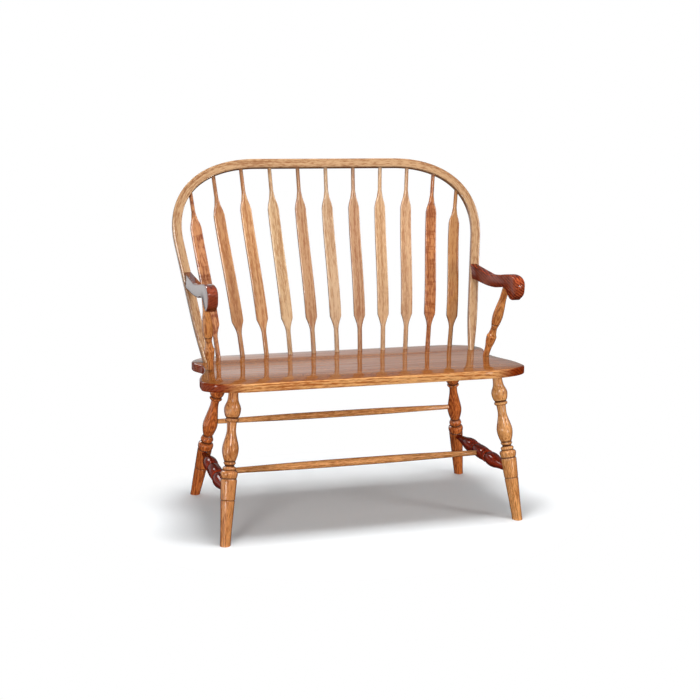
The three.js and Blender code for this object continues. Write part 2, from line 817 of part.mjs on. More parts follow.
// The seat is glued up from four boards that run its whole length. Their glue lines keep
// clear of the sockets.
function seatBoards() {
  const sockets = [
    ...slats.map((each) => each.footSocket),
    ...bothSides([bowSocket, lowSocket(post), highSocket(frontLeg), highSocket(rearLeg)]),
  ];
  const blank = solidOf(cutFrom(seatBlank(), sockets));
  const half = clearance / 2;
  const seams = [
    -bowSetForward - boardPastBow,
    -postFootSet - boardPastPost,
    frontTop.y + boardBehindLeg,
  ];
  const rears = [overrun, ...seams.map((seam) => seam - half)];
  const fronts = [...seams.map((seam) => seam + half), -seatDepth - overrun];
  const reach = (seatHalfWidth + overrun) * 2;
  return rears.map((rear, k) => {
    const slab = new THREE.BoxGeometry(reach, rear - fronts[k], seatThickness * 2);
    slab.translate(0, (rear + fronts[k]) / 2, seatUnderside + seatThickness / 2);
    return piece(`seat_board_${k + 1}`, geometryOf(blank.intersect(solidOf(slab))), seatOak);
  });
}

// Assembly

// The left side's pieces are the right side's, mirrored.
const rightPieces = [frontLeg, rearLeg, sideStretcher, post, arm, screw, plug];
const leftSide = new THREE.Group();
leftSide.scale.x = -1;
for (const source of rightPieces) {
  const twin = source.clone();
  twin.material = source.material.clone();
  twin.name = source.name.replace("right", "left");
  leftSide.add(twin);
}

const assembly = new THREE.Group();
assembly.add(...seatBoards(), bow, ...slats.map((each) => each.mesh));
assembly.add(...rightPieces, leftSide, middleStretcher, rearStretcher);

// The origin is on the floor, under the middle of the bench's box.
const box = new THREE.Box3().setFromObject(assembly, true);
assembly.position.y = -(box.min.y + box.max.y) / 2;

const bench = new THREE.Group();
bench.add(assembly);

export default bench;
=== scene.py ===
"""Looks of the oak deacons bench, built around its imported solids.

Metres, +Z up, the front faces -Y, and left and right are as seen from the front. The wood's
sizes are in millimetres, as in the part's source, and are measured forward and back from the
seat's rear edge, sideways from the bench's middle and up from the floor. Looks, room and lamps
use metres.
"""
import math

import bmesh
import bpy
from mathutils import Matrix, Vector


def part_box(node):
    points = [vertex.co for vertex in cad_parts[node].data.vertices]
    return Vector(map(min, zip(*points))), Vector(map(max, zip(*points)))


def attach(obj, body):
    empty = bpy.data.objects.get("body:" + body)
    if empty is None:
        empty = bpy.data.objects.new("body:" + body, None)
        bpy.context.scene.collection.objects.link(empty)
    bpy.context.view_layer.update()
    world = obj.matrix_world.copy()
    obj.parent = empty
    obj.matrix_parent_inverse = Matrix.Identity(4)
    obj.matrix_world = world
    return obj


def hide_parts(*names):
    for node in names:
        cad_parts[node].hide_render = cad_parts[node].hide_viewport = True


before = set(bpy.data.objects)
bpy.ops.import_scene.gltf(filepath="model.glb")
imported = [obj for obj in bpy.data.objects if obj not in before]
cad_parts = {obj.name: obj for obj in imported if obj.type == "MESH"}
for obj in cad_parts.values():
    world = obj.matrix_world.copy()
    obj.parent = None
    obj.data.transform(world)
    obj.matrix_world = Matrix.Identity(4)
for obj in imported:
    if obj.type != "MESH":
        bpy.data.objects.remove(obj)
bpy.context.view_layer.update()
rear_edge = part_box("seat_board_1")[1][1]
mm = 0.001
SIDES = (("left", -1), ("right", 1))


def at(x, back, up):
    """A point given in the bench's own millimetres."""
    return Vector((x * mm, rear_edge + back * mm, up * mm))


def mix(a, b, t):
    return a + (b - a) * t


def clamp(value):
    return min(max(value, 0.0), 1.0)


# Camera

PICTURE_WIDTH = 700
SENSOR_WIDTH = 36.0
FAR_END = 100.0
FOCAL_PIXELS = 1228.1
CAMERA_PLACE = (-1033.9, -3735.4, 1192.8)
CAMERA_YAW = 16.2
CAMERA_PITCH = 10.75
CAMERA_ROLL = 0.322


def make_camera():
    data = bpy.data.cameras.new("camera")
    data.sensor_width = SENSOR_WIDTH
    data.lens = FOCAL_PIXELS * SENSOR_WIDTH / PICTURE_WIDTH
    data.clip_end = FAR_END
    yaw, pitch, roll = (math.radians(a) for a in (CAMERA_YAW, CAMERA_PITCH, CAMERA_ROLL))
    forward = Vector(
        (math.sin(yaw) * math.cos(pitch), math.cos(yaw) * math.cos(pitch), -math.sin(pitch))
    )
    level = Vector((math.cos(yaw), -math.sin(yaw), 0.0))
    upright = level.cross(forward)
    right = level * math.cos(roll) + upright * math.sin(roll)
    top = upright * math.cos(roll) - level * math.sin(roll)
    camera = bpy.data.objects.new("camera", data)
    camera.matrix_world = Matrix.Translation(at(*CAMERA_PLACE)) @ Matrix(
        (right, top, -forward)
    ).transposed().to_4x4()
    bpy.context.collection.objects.link(camera)
    bpy.context.scene.camera = camera


make_camera()

# Sizes, as in the part's source

SEAT_HEIGHT = 457.0
SEAT_THICKNESS = 26.0
SEAT_DEPTH = 432.0
SEAT_REAR_HALF_WIDTH = 474.0
SEAT_WAIST_HALF_WIDTH = 454.0
SEAT_FRONT_HALF_WIDTH = 493.0
SEAT_REAR_CORNER = 84.0
SEAT_REAR_PULL = 0.33
SEAT_WAIST = 160.0
SEAT_FRONT_WIDEST = 372.0
SEAT_REAR_STRAIGHT = 345.0
SEAT_FRONT_STRAIGHT = 353.0
SEAT_EASE = 5.0
SEAT_SEAMS = (-118.0, -232.9, -350.0)
BOARD_GAP = 0.3
SEAT_UNDERSIDE = SEAT_HEIGHT - SEAT_THICKNESS

BOW_WIDTH = 30.0
BOW_DEPTH = 20.0
BOW_LEAN = 20.3
BOW_SET_FORWARD = 95.0
BOW_FOOT_HALF_SPAN = 431.5
BOW_SHOULDER_HALF_SPAN = 488.5
BOW_SHOULDER_RISE = 374.0
BOW_CROWN_HALF_SPAN = 228.0
BOW_CROWN_RISE = 626.5
BOW_SHOULDER_PULL = 152.0
BOW_CROWN_PULL = 185.0
BOW_FOOT_RADIUS = 10.5
BOW_FOOT_TAPER = 134.0
BOW_TENON = 10.0

SLATS = 11
SLAT_FOOT_STEP = 0.1773 * BOW_FOOT_HALF_SPAN
SLAT_TOP_STEP = 0.1894 * BOW_SHOULDER_HALF_SPAN
SLAT_SET_FORWARD = 28.0
SLAT_FOOT_RADIUS = 7.5
SLAT_TOP_RADIUS = 6.0
SLAT_PADDLE_THICKNESS = 11.0
SLAT_BEND = 10.0
SLAT_TENON = 8.0

LEG_RADIUS = 24.7
LEG_TENON = 10.0
# Middle of each leg's foot on the floor and of its top under the seat, as across and back
FRONT_LINE = ((447.0, -462.0), (402.0, -380.0))
REAR_LINE = ((452.0, 43.0), (376.0, -62.0))

SIDE_STRETCHER_HEIGHT = 144.0
SIDE_STRETCHER_RADIUS = 22.6
SIDE_STRETCHER_EDGE = 0.86
MIDDLE_STRETCHER_RADIUS = 12.5
MIDDLE_STRETCHER_EDGE = 0.95
REAR_STRETCHER_HEIGHT = 250.0
REAR_STRETCHER_RADIUS = 11.3
REAR_STRETCHER_EDGE = 0.92
STRETCHER_TENON = 10.0

ARM_TIP = 198.0
ARM_RISE = 74.0
ARM_REAR_SET = -15.0
ARM_LENGTH = 418.0
ARM_TOE_IN = 9.0
ARM_REAR_WIDTH = 22.0
ARM_NOSE_WIDTH = 30.0
ARM_EASE = 4.0

POST_RADIUS = 16.3
POST_FOOT = (437.0, -206.9)
POST_TOP_SET = 288.9
POST_TOP_RISE = 220.9
POST_TENON = 10.0

PLUG_RADIUS = 4.8
PLUG_LENGTH = 4.5
SCREW_RISE = 234.0

# Turned outlines, from the lower end up: shares of the length and of the widest radius. Each
# inner list is one run: two points are straight, more are a smooth curve.
FRONT_LEG = (
    ((0, 0.62), (0.12, 0.69), (0.285, 0.845)),
    ((0.285, 0.845), (0.291, 0.8), (0.297, 0.855)),
    ((0.297, 0.855), (0.42, 0.965)),
    ((0.42, 0.965), (0.43, 0.885), (0.439, 0.94), (0.461, 1.02), (0.474, 0.96), (0.482, 0.74)),
    ((0.482, 0.74), (0.496, 0.8), (0.504, 0.72), (0.51, 0.54)),
    ((0.51, 0.54), (0.519, 0.6), (0.53, 0.725), (0.538, 0.645)),
    ((0.538, 0.645), (0.577, 0.87), (0.612, 0.965), (0.646, 0.915), (0.728, 0.565), (0.79, 0.58)),
    ((0.79, 0.58), (0.797, 0.74), (0.806, 0.83), (0.815, 0.76), (0.82, 0.7)),
    ((0.82, 0.7), (0.838, 0.88), (0.872, 0.99), (0.897, 0.915), (0.936, 0.65), (1, 0.565)),
)
REAR_LEG = (
    ((0, 0.61), (0.133, 0.735), (0.214, 0.8)),
    ((0.214, 0.8), (0.219, 0.76), (0.225, 0.815)),
    ((0.225, 0.815), (0.361, 0.93)),
    ((0.361, 0.93), (0.367, 0.86), (0.374, 0.93), (0.394, 0.99), (0.412, 0.93), (0.422, 0.66)),
    ((0.422, 0.66), (0.434, 0.76), (0.446, 0.825), (0.462, 0.72), (0.476, 0.6)),
    ((0.476, 0.6), (0.502, 0.765), (0.548, 0.935), (0.587, 0.9), (0.7, 0.55), (0.75, 0.545)),
    ((0.75, 0.545), (0.755, 0.7), (0.764, 0.81), (0.772, 0.71), (0.776, 0.64)),
    ((0.776, 0.64), (0.795, 0.865), (0.822, 0.96), (0.848, 0.9), (0.9, 0.64), (1, 0.56)),
)
POST = (
    ((0, 0.61), (0.12, 0.65), (0.21, 0.88)),
    ((0.21, 0.88), (0.29, 0.985), (0.302, 0.92)),
    ((0.302, 0.92), (0.345, 0.73), (0.42, 0.615), (0.47, 0.77)),
    ((0.47, 0.77), (0.48, 0.74), (0.49, 0.84)),
    ((0.49, 0.84), (0.6, 1), (0.73, 0.87), (0.86, 0.67), (1, 0.68)),
)
HALF_SIDE_STRETCHER = (
    ((0, 0.42), (0.1, 0.45), (0.29, 0.66), (0.46, 0.93), (0.56, 1), (0.64, 0.94), (0.73, 0.71)),
    ((0.73, 0.71), (0.745, 0.85), (0.77, 0.93), (0.795, 0.85), (0.81, 0.74)),
    ((0.81, 0.74), (0.83, 0.86), (0.9, 0.95), (1, 0.97)),
)
HALF_ROD = (((0, 0.69), (0.3, 0.83), (0.62, 0.97), (1, 1)),)

ARM_TOP = (
    (0, 0.95), (0.2, 0.84), (0.36, 0.763), (0.462, 0.73), (0.624, 0.83), (0.754, 0.94),
    (0.86, 1), (0.945, 0.95), (0.99, 0.8), (1, 0.6), (0.985, 0.26), (0.915, 0),
)
ARM_HOOK = (
    (0.882, 0.01), (0.835, 0.15), (0.785, 0.355), (0.7, 0.38), (0.58, 0.27), (0.41, 0.23),
    (0.22, 0.265), (0, 0.29),
)

# Slats: stations along the length, the half width in millimetres, and how square the
# section is, from 0 for round to 1 for a flat board.
SLAT_STATIONS = (
    (0, 7.5, 0), (0.06, 7.41, 0), (0.118, 7.32, 0), (0.14, 9.3, 0.4), (0.163, 13.3, 0.8),
    (0.185, 18.1, 1), (0.21, 18.5, 1), (0.33, 18.5, 1), (0.45, 18.3, 1), (0.57, 18.1, 1),
    (0.69, 17.9, 1), (0.765, 17.6, 1), (0.79, 14.8, 0.9), (0.82, 9.6, 0.5), (0.86, 6.21, 0),
    (0.93, 6.11, 0), (1, 6.0, 0),
)
ROUND_POWER = 1.0
FLAT_POWER = 0.28


# Curves


def smooth(points, steps):
    """Points on the uniform curve that runs through all the given points."""
    last = len(points) - 1
    drawn = []
    for k in range(steps + 1):
        place = last * k / steps
        i = min(int(place), last - 1)
        t = place - i
        p0, p1 = points[max(i - 1, 0)], points[i]
        p2, p3 = points[i + 1], points[min(i + 2, last)]
        drawn.append(tuple(
            0.5 * (2 * b + (c - a) * t + (2 * a - 5 * b + 4 * c - d) * t * t
                   + (3 * b - a - 3 * c + d) * t ** 3)
            for a, b, c, d in zip(p0, p1, p2, p3)
        ))
    return drawn


def bezier(p0, p1, p2, p3, steps):
    """Points on the curve from p0 up to p3, without p3 itself."""
    drawn = []
    for k in range(steps):
        t = k / steps
        s = 1 - t
        drawn.append(tuple(
            s ** 3 * a + 3 * s * s * t * b + 3 * s * t * t * c + t ** 3 * d
            for a, b, c, d in zip(p0, p1, p2, p3)
        ))
    return drawn


TURNING_STEP = 2.5
# A groove darkens the wood this far around it, so the coves between beads get painted shade
# besides the burnt score lines.
GROOVE_REACH = 6.5
GROOVE_DEPTH = 1.5
POST_GROOVE_DEPTH = 0.45


def outline(runs, length, radius):
    """Height and radius of each point of a turned outline."""
    rows = []
    for run in runs:
        sized = [(h * length, r * radius) for h, r in run]
        rise = sized[-1][0] - sized[0][0]
        steps = max(3 * (len(run) - 1), round(rise / TURNING_STEP))
        rows += smooth(sized, steps)[1 if rows else 0:]
    return rows


def burn_and_shade(rows, full_depth):
    """How dark each point is, from 0 on open wood to 1 at the full depth of a narrow groove: burnt
    score lines, and painted shade in the coves between beads.
    """
    dark = []
    for height, radius in rows:
        near = [(h - height, r) for h, r in rows if abs(h - height) <= GROOVE_REACH]
        below = max(r for d, r in near if d <= 0)
        above = max(r for d, r in near if d >= 0)
        dark.append(clamp((min(below, above) - radius) / full_depth))
    return dark


def doubled(half, length):
    return half + [(length - h, r) for h, r in half[-2::-1]]


# Short ways to make and link nodes, for both kinds of tree


def group_tree(name, inputs, outputs, kind="ShaderNodeTree"):
    """A node group with named inputs and outputs."""
    tree = bpy.data.node_groups.new(name, kind)
    for label, sort, value in inputs:
        socket = tree.interface.new_socket(
            label, in_out="INPUT", socket_type="NodeSocket" + sort
        )
        if value is not None:
            socket.default_value = value
    for label, sort in outputs:
        tree.interface.new_socket(label, in_out="OUTPUT", socket_type="NodeSocket" + sort)
    given = tree.nodes.new("NodeGroupInput").outputs
    made = tree.nodes.new("NodeGroupOutput").inputs
    return tree, given, made


def put(tree, value, socket):
    """Links an output to the socket, or sets a plain value there."""
    if isinstance(value, bpy.types.NodeSocket):
        tree.links.new(value, socket)
    else:
        socket.default_value = value


def fill(tree, node, inputs):
    """Puts a value or a link on each named input of a node."""
    for key, value in dict(inputs).items():
        put(tree, value, node.inputs[key])
    return node


def node_of(tree, kind, inputs=(), **settings):
    """A new node with its settings and its inputs."""
    node = tree.nodes.new(kind)
    for key, value in settings.items():
        setattr(node, key, value)
    return fill(tree, node, inputs)


def calc(tree, operation, *values):
    return node_of(tree, "ShaderNodeMath", enumerate(values), operation=operation).outputs[0]


def plus(tree, a, b):
    return calc(tree, "ADD", a, b)


def minus(tree, a, b):
    return calc(tree, "SUBTRACT", a, b)


def times(tree, a, b):
    return calc(tree, "MULTIPLY", a, b)


def vector_calc(tree, operation, *values):
    places = (0, "Scale" if operation == "SCALE" else 1)
    node = node_of(tree, "ShaderNodeVectorMath", zip(places, values), operation=operation)
    return node.outputs["Value" if operation in ("LENGTH", "DOT_PRODUCT") else 0]


def parts_of(tree, vector):
    return node_of(tree, "ShaderNodeSeparateXYZ", {0: vector}).outputs


# Swept wood: a section carried along a path by one node tree

POINT_VECTORS = ("side", "front")
POINT_NUMBERS = ("power", "along", "burn_and_shade")
ROUND_SIDES = 40


def sweep_tree():
    """Carries a round ring along a path, and squares it by the path's own widths."""
    tree, given, made = group_tree(
        "swept wood",
        (
            ("Path", "Geometry", None), ("Sides", "Int", ROUND_SIDES),
            ("Place in Log", "Vector", None), ("Wood", "Material", None),
        ),
        (("Piece", "Geometry"),), "GeometryNodeTree",
    )

    def named(name, kind):
        node = node_of(tree, "GeometryNodeInputNamedAttribute", {"Name": name}, data_type=kind)
        return node.outputs["Attribute"]

    def store(geometry, name, value):
        return node_of(
            tree, "GeometryNodeStoreNamedAttribute",
            {"Geometry": geometry, "Name": name, "Value": value},
            data_type="FLOAT_VECTOR", domain="POINT",
        ).outputs["Geometry"]

    place = tree.nodes.new("GeometryNodeInputPosition").outputs[0]
    path = node_of(tree, "GeometryNodeMeshToCurve", {"Mesh": given["Path"]})
    ring = node_of(tree, "GeometryNodeCurvePrimitiveCircle", {"Resolution": given["Sides"]})
    sweep = node_of(tree, "GeometryNodeCurveToMesh", {
        "Curve": store(path.outputs["Curve"], "centre", place),
        "Profile Curve": store(ring.outputs["Curve"], "ring", place),
        "Fill Caps": True,
    })
    on_ring = parts_of(tree, named("ring", "FLOAT_VECTOR"))
    power = named("power", "FLOAT")

    def bent(value):
        raised = calc(tree, "POWER", calc(tree, "ABSOLUTE", value), power)
        return times(tree, raised, calc(tree, "SIGN", value))

    sideways, forward = bent(on_ring["X"]), bent(on_ring["Y"])
    side, front = (named(name, "FLOAT_VECTOR") for name in POINT_VECTORS)
    spread = vector_calc(
        tree, "ADD", vector_calc(tree, "SCALE", side, sideways),
        vector_calc(tree, "SCALE", front, forward),
    )
    skin = node_of(tree, "GeometryNodeSetPosition", {
        "Geometry": sweep.outputs["Mesh"],
        "Position": vector_calc(tree, "ADD", named("centre", "FLOAT_VECTOR"), spread),
    })
    stock = node_of(tree, "ShaderNodeCombineXYZ", {
        "X": times(tree, vector_calc(tree, "LENGTH", side), sideways),
        "Y": times(tree, vector_calc(tree, "LENGTH", front), forward),
        "Z": named("along", "FLOAT"),
    })
    in_log = vector_calc(tree, "ADD", stock.outputs[0], given["Place in Log"])
    grained = store(skin.outputs["Geometry"], "stock", in_log)
    real = node_of(tree, "GeometryNodeRealizeInstances", {0: grained})
    finish = node_of(
        tree, "GeometryNodeSetMaterial", {"Geometry": real.outputs[0], "Material": given["Wood"]}
    )
    put(tree, finish.outputs[0], made["Piece"])
    return tree


SWEEP = sweep_tree()
SHARP_ANGLE = math.radians(38)


def path_mesh(rows):
    """The path as a chain of points, each with its section's own numbers."""
    mesh = bpy.data.meshes.new("path")
    mesh.from_pydata(
        [row["centre"] for row in rows], [(k, k + 1) for k in range(len(rows) - 1)], []
    )
    for kind, field, names in (
        ("FLOAT_VECTOR", "vector", POINT_VECTORS), ("FLOAT", "value", POINT_NUMBERS)
    ):
        for key in names:
            data = mesh.attributes.new(key, kind, "POINT").data
            for item, row in zip(data, rows):
                setattr(item, field, row[key])
    return mesh


def finished(node, mesh):
    """Puts a finished mesh in the scene as the piece that stands for its CAD node."""
    mesh.shade_smooth()
    mesh.set_sharp_from_angle(angle=SHARP_ANGLE)
    piece = bpy.data.objects.new(f"{node}_wood", mesh)
    bpy.context.collection.objects.link(piece)
    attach(piece, "root")
    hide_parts(node)


def outward(mesh):
    """Turns every face outwards."""
    work = bmesh.new()
    work.from_mesh(mesh)
    bmesh.ops.recalc_face_normals(work, faces=work.faces)
    if work.calc_volume(signed=True) < 0:
        bmesh.ops.reverse_faces(work, faces=work.faces)
    work.to_mesh(mesh)
    work.free()


def swept(node, rows, wood, log, sides=ROUND_SIDES, ground=None):
    """Sweeps the rows into a piece. With ground, what is below the floor slides up along it."""
    carrier = bpy.data.objects.new("path", path_mesh(rows))
    bpy.context.collection.objects.link(carrier)
    sweeping = carrier.modifiers.new("sweep", "NODES")
    sweeping.node_group = SWEEP
    for label, value in (("Sides", sides), ("Place in Log", log), ("Wood", wood)):
        sweeping[SWEEP.interface.items_tree[label].identifier] = value
    evaluated = carrier.evaluated_get(bpy.context.evaluated_depsgraph_get())
    mesh = bpy.data.meshes.new_from_object(evaluated)
    mesh.name = node
    bpy.data.objects.remove(carrier)
    for name in ("ring", "centre", "power", *POINT_VECTORS):
        if name in mesh.attributes:
            mesh.attributes.remove(mesh.attributes[name])
    if ground is not None:
        for vertex in mesh.vertices:
            if vertex.co.z < 0:
                vertex.co -= ground * (vertex.co.z / ground.z)
    outward(mesh)
    finished(node, mesh)


def path_row(centre, side, front, power, along, shade=0.0):
    return {
        "centre": centre, "side": side, "front": front, "power": power, "along": along,
        "burn_and_shade": shade,
    }


# Turned pieces

SKIN = 0.3  # how far round wood and the bow stay inside their solids
SAME_PLACE = 1e-3  # heights nearer than this are one
LEG_FLOOR_STEP = 6.0


def turned_rows(low, high, profile, tenons, first_height=0.0, full_depth=GROOVE_DEPTH):
    """Path rows for a turned piece between two points, with its round ends beyond them."""
    span = high - low
    along = span.normalized()
    level = along.cross(Vector((0, 0, 1))).normalized()
    square = along.cross(level)
    length = span.length / mm
    rows = [row for row in profile if row[0] >= first_height]
    drawn = [(h, r, shade) for (h, r), shade in zip(rows, burn_and_shade(rows, full_depth))]
    drawn.insert(0, (-tenons[0], rows[0][1], 0.0))
    if rows[-1][0] < length - SAME_PLACE:
        drawn.append((length, rows[-1][1], 0.0))
    drawn.append((length + tenons[1], rows[-1][1], 0.0))
    return [
        path_row(
            low + along * (height * mm), level * ((radius - SKIN) * mm),
            square * ((radius - SKIN) * mm), ROUND_POWER, height * mm, shade,
        )
        for height, radius, shade in drawn
    ]


def on_side(line, side):
    """A leg's foot and top, for one side of the bench."""
    return [(x * side, back) for x, back in line]


def on_leg(line, height):
    (x0, back0), (x1, back1) = line
    t = height / SEAT_UNDERSIDE
    return at(mix(x0, x1, t), mix(back0, back1, t), height)


def leg(node, line, runs, wood, log):
    low, high = on_leg(line, 0.0), on_leg(line, SEAT_UNDERSIDE)
    profile = outline(runs, (high - low).length / mm, LEG_RADIUS)
    rows = turned_rows(low, high, profile, (LEG_FLOOR_STEP, LEG_TENON), LEG_FLOOR_STEP)
    swept(node, rows, wood, log, ground=(high - low).normalized())


def stretcher(node, ends, edge, radius, half_runs, wood, log):
    """A stretcher between the middles of two pieces, from edge to edge of them."""
    start, stop = ends
    along = (stop - start).normalized()
    low, high = start + along * (edge * mm), stop - along * (edge * mm)
    length = (high - low).length / mm
    profile = doubled(outline(half_runs, length / 2, radius), length)
    rows = turned_rows(low, high, profile, (STRETCHER_TENON, STRETCHER_TENON))
    swept(node, rows, wood, log)


# The bow's own leaning plane: across it, and up along it from the seat's top

LEAN = math.radians(BOW_LEAN)
BOW_UP = Vector((0, math.sin(LEAN), math.cos(LEAN)))
BOW_FRONT = Vector((0, -math.cos(LEAN), math.sin(LEAN)))
BOW_ORIGIN = at(0.0, -BOW_SET_FORWARD, SEAT_HEIGHT)
SIDE_STEPS = 40
CORNER_STEPS = 56
CROWN_STEPS = 14
BOW_SIDES = 48


def in_bow(across, up, forward=0.0):
    sideways = Vector((across * mm, 0, 0))
    return BOW_ORIGIN + sideways + BOW_UP * (up * mm) + BOW_FRONT * (forward * mm)


def bow_half():
    """Centre line of the bow's right half, as across and up, from the foot to the middle."""
    foot = (BOW_FOOT_HALF_SPAN, 0.0)
    shoulder = (BOW_SHOULDER_HALF_SPAN, BOW_SHOULDER_RISE)
    crown = (BOW_CROWN_HALF_SPAN, BOW_CROWN_RISE)
    rise = math.dist(foot, shoulder)
    side = ((shoulder[0] - foot[0]) / rise, shoulder[1] / rise)
    points = [(-side[0] * BOW_TENON + foot[0], -side[1] * BOW_TENON)]
    points += [
        (mix(foot[0], shoulder[0], k / SIDE_STEPS), mix(foot[1], shoulder[1], k / SIDE_STEPS))
        for k in range(SIDE_STEPS)
    ]
    points += bezier(
        shoulder,
        (shoulder[0] + side[0] * BOW_SHOULDER_PULL, shoulder[1] + side[1] * BOW_SHOULDER_PULL),
        (crown[0] + BOW_CROWN_PULL, crown[1]), crown, CORNER_STEPS,
    )
    return points + [
        (crown[0] * (1 - k / CROWN_STEPS), crown[1]) for k in range(CROWN_STEPS + 1)
    ]


BOW_HALF = bow_half()


def bow(wood, log):
    """The bow, swept from its right foot over to its left foot."""
    line = BOW_HALF + [(-x, up) for x, up in BOW_HALF[-2::-1]]
    rows, travelled = [], 0.0
    for k, (x, up) in enumerate(line):
        before, after = line[max(k - 1, 0)], line[min(k + 1, len(line) - 1)]
        way = Vector((after[0] - before[0], after[1] - before[1])).normalized()
        if k:
            travelled += math.dist(line[k - 1], (x, up))
        grown = math.sin(clamp(up / BOW_FOOT_TAPER) * math.pi / 2)
        outer = Vector((way[1], 0, 0)) - BOW_UP * way[0]
        rows.append(path_row(
            in_bow(x, up), outer * ((mix(BOW_FOOT_RADIUS, BOW_WIDTH / 2, grown) - SKIN) * mm),
            BOW_FRONT * ((mix(BOW_FOOT_RADIUS, BOW_DEPTH / 2, grown) - SKIN) * mm),
            mix(ROUND_POWER, FLAT_POWER, grown), travelled * mm,
        ))
    swept("bow", rows, wood, log, sides=BOW_SIDES)


# Slats

SLAT_STEP = 0.006


def bow_point(distance):
    """Point of the bow's centre line, at a distance along it from the crown's middle."""
    left, points = abs(distance), BOW_HALF[::-1]
    for a, b in zip(points, points[1:]):
        step = math.dist(a, b)
        if step >= left:
            t = left / step
            break
        left -= step
    x = mix(a[0], b[0], t)
    return in_bow(math.copysign(x, distance), mix(a[1], b[1], t))


def between(stations, t):
    """The values at a share t, straight between the two stations around it."""
    i = max(k for k in range(len(stations) - 1) if stations[k][0] <= t)
    low, high = stations[i], stations[i + 1]
    s = clamp((t - low[0]) / (high[0] - low[0]))
    return [mix(a, b, s) for a, b in zip(low[1:], high[1:])]


def slat(number, wood, log):
    """A slat that swings forward and back along its length, in one wave."""
    step = number - (SLATS - 1) / 2
    foot = at(step * SLAT_FOOT_STEP, -SLAT_SET_FORWARD, SEAT_HEIGHT)
    chord = bow_point(step * SLAT_TOP_STEP) - foot
    sideways = chord.cross(BOW_FRONT).normalized()
    forward = sideways.cross(chord).normalized()
    stations = round(1 / SLAT_STEP)
    rows = []
    for t in [-SLAT_TENON * mm / chord.length] + [k / stations for k in range(stations + 1)]:
        half_width, squareness = between(SLAT_STATIONS, clamp(t))
        radius = mix(SLAT_FOOT_RADIUS, SLAT_TOP_RADIUS, clamp(t))
        wave = 2 * math.pi * t
        swing = SLAT_BEND * (math.sin(wave) if t > 0 else wave)
        way = chord + forward * (SLAT_BEND * mm * 2 * math.pi * math.cos(wave))
        rows.append(path_row(
            foot + chord * t + forward * (swing * mm), sideways * (half_width * mm),
            sideways.cross(way).normalized()
            * (mix(radius, SLAT_PADDLE_THICKNESS / 2, squareness) * mm),
            mix(ROUND_POWER, FLAT_POWER, squareness), t * chord.length,
        ))
    swept(f"arrow_slat_{number + 1:02d}", rows, wood, log)


# Sawn pieces: rings of points joined into a closed body, then cut

CUT_REACH = 1e-5  # in metres, how near a cut a point counts as on it


def inset(points, distance):
    """The closed outline moved inward, each point square to its neighbours' line."""
    moved = []
    for k, (x, y) in enumerate(points):
        before, after = points[k - 1], points[(k + 1) % len(points)]
        way = Vector((after[0] - before[0], after[1] - before[1])).normalized()
        moved.append((x + way[1] * distance, y - way[0] * distance))
    return moved


def quarter_round(ease, steps):
    """How far in and how far up each ring of a rounded edge lies, from the flat face up."""
    turns = [k / steps * math.pi / 2 for k in range(steps + 1)]
    return [(ease * (1 - math.sin(turn)), ease * (1 - math.cos(turn))) for turn in turns]


def skinned(rings):
    """A closed body through the rings, with flat ends."""
    work = bmesh.new()
    skin = [[work.verts.new(point) for point in ring] for ring in rings]
    for low, high in zip(skin, skin[1:]):
        for j in range(len(low)):
            n = (j + 1) % len(low)
            work.faces.new((low[j], low[n], high[n], high[j]))
    work.faces.new(skin[0][::-1])
    work.faces.new(skin[-1])
    return work


def cut_off(work, place, beyond):
    """Cuts away what lies beyond a plane, and closes the cut."""
    cut = bmesh.ops.bisect_plane(
        work, geom=work.verts[:] + work.edges[:] + work.faces[:], dist=CUT_REACH,
        plane_co=place, plane_no=beyond, clear_outer=True,
    )
    edges = [item for item in cut["geom_cut"] if isinstance(item, bmesh.types.BMEdge)]
    bmesh.ops.holes_fill(work, edges=edges)


def sawn(node, work, to_stock, log, wood):
    """Finishes a sawn piece, and stores where each of its points lies in the log."""
    bmesh.ops.recalc_face_normals(work, faces=work.faces)
    mesh = bpy.data.meshes.new(node)
    work.to_mesh(mesh)
    work.free()
    data = mesh.attributes.new("stock", "FLOAT_VECTOR", "POINT").data
    for item, vertex in zip(data, mesh.vertices):
        item.vector = to_stock(vertex.co) + Vector(log)
    mesh.attributes.new("burn_and_shade", "FLOAT", "POINT")
    mesh.materials.append(wood)
    finished(node, mesh)


# Seat

OUTLINE_STEPS = 30
EASE_STEPS = 5


def seat_half():
    """Outline of the seat's right half, as across and back, from the rear to the front."""
    hip = (SEAT_WAIST + SEAT_FRONT_WIDEST) / 2
    waist = (SEAT_REAR_CORNER + SEAT_WAIST) / 2
    fall = (SEAT_FRONT_WIDEST + SEAT_DEPTH) / 2
    rear, middle, front = SEAT_REAR_HALF_WIDTH, SEAT_WAIST_HALF_WIDTH, SEAT_FRONT_HALF_WIDTH
    corners = (
        ((SEAT_REAR_STRAIGHT, 0), ((SEAT_REAR_STRAIGHT + rear) / 2, 0),
         (rear, -SEAT_REAR_CORNER * SEAT_REAR_PULL), (rear, -SEAT_REAR_CORNER)),
        ((rear, -SEAT_REAR_CORNER), (rear, -waist), (middle, -waist), (middle, -SEAT_WAIST)),
        ((middle, -SEAT_WAIST), (middle, -hip), (front, -hip), (front, -SEAT_FRONT_WIDEST)),
        ((front, -SEAT_FRONT_WIDEST), (front, -fall),
         ((SEAT_FRONT_STRAIGHT + front) / 2, -SEAT_DEPTH), (SEAT_FRONT_STRAIGHT, -SEAT_DEPTH)),
    )
    points = []
    for corner in corners:
        points += bezier(*corner, OUTLINE_STEPS)
    return points + [(SEAT_FRONT_STRAIGHT, -SEAT_DEPTH)]


def seat_blank():
    """The whole seat as a closed body with rounded edges, still in one piece."""
    half = seat_half()
    around = half + [(-x, y) for x, y in half[::-1]]
    edge = quarter_round(SEAT_EASE, EASE_STEPS)
    levels = [(inward, SEAT_UNDERSIDE + rise) for inward, rise in edge]
    levels += [(inward, SEAT_HEIGHT - rise) for inward, rise in edge[::-1]]
    return skinned([
        [at(x, y, height) for x, y in inset(around, inward)] for inward, height in levels
    ])


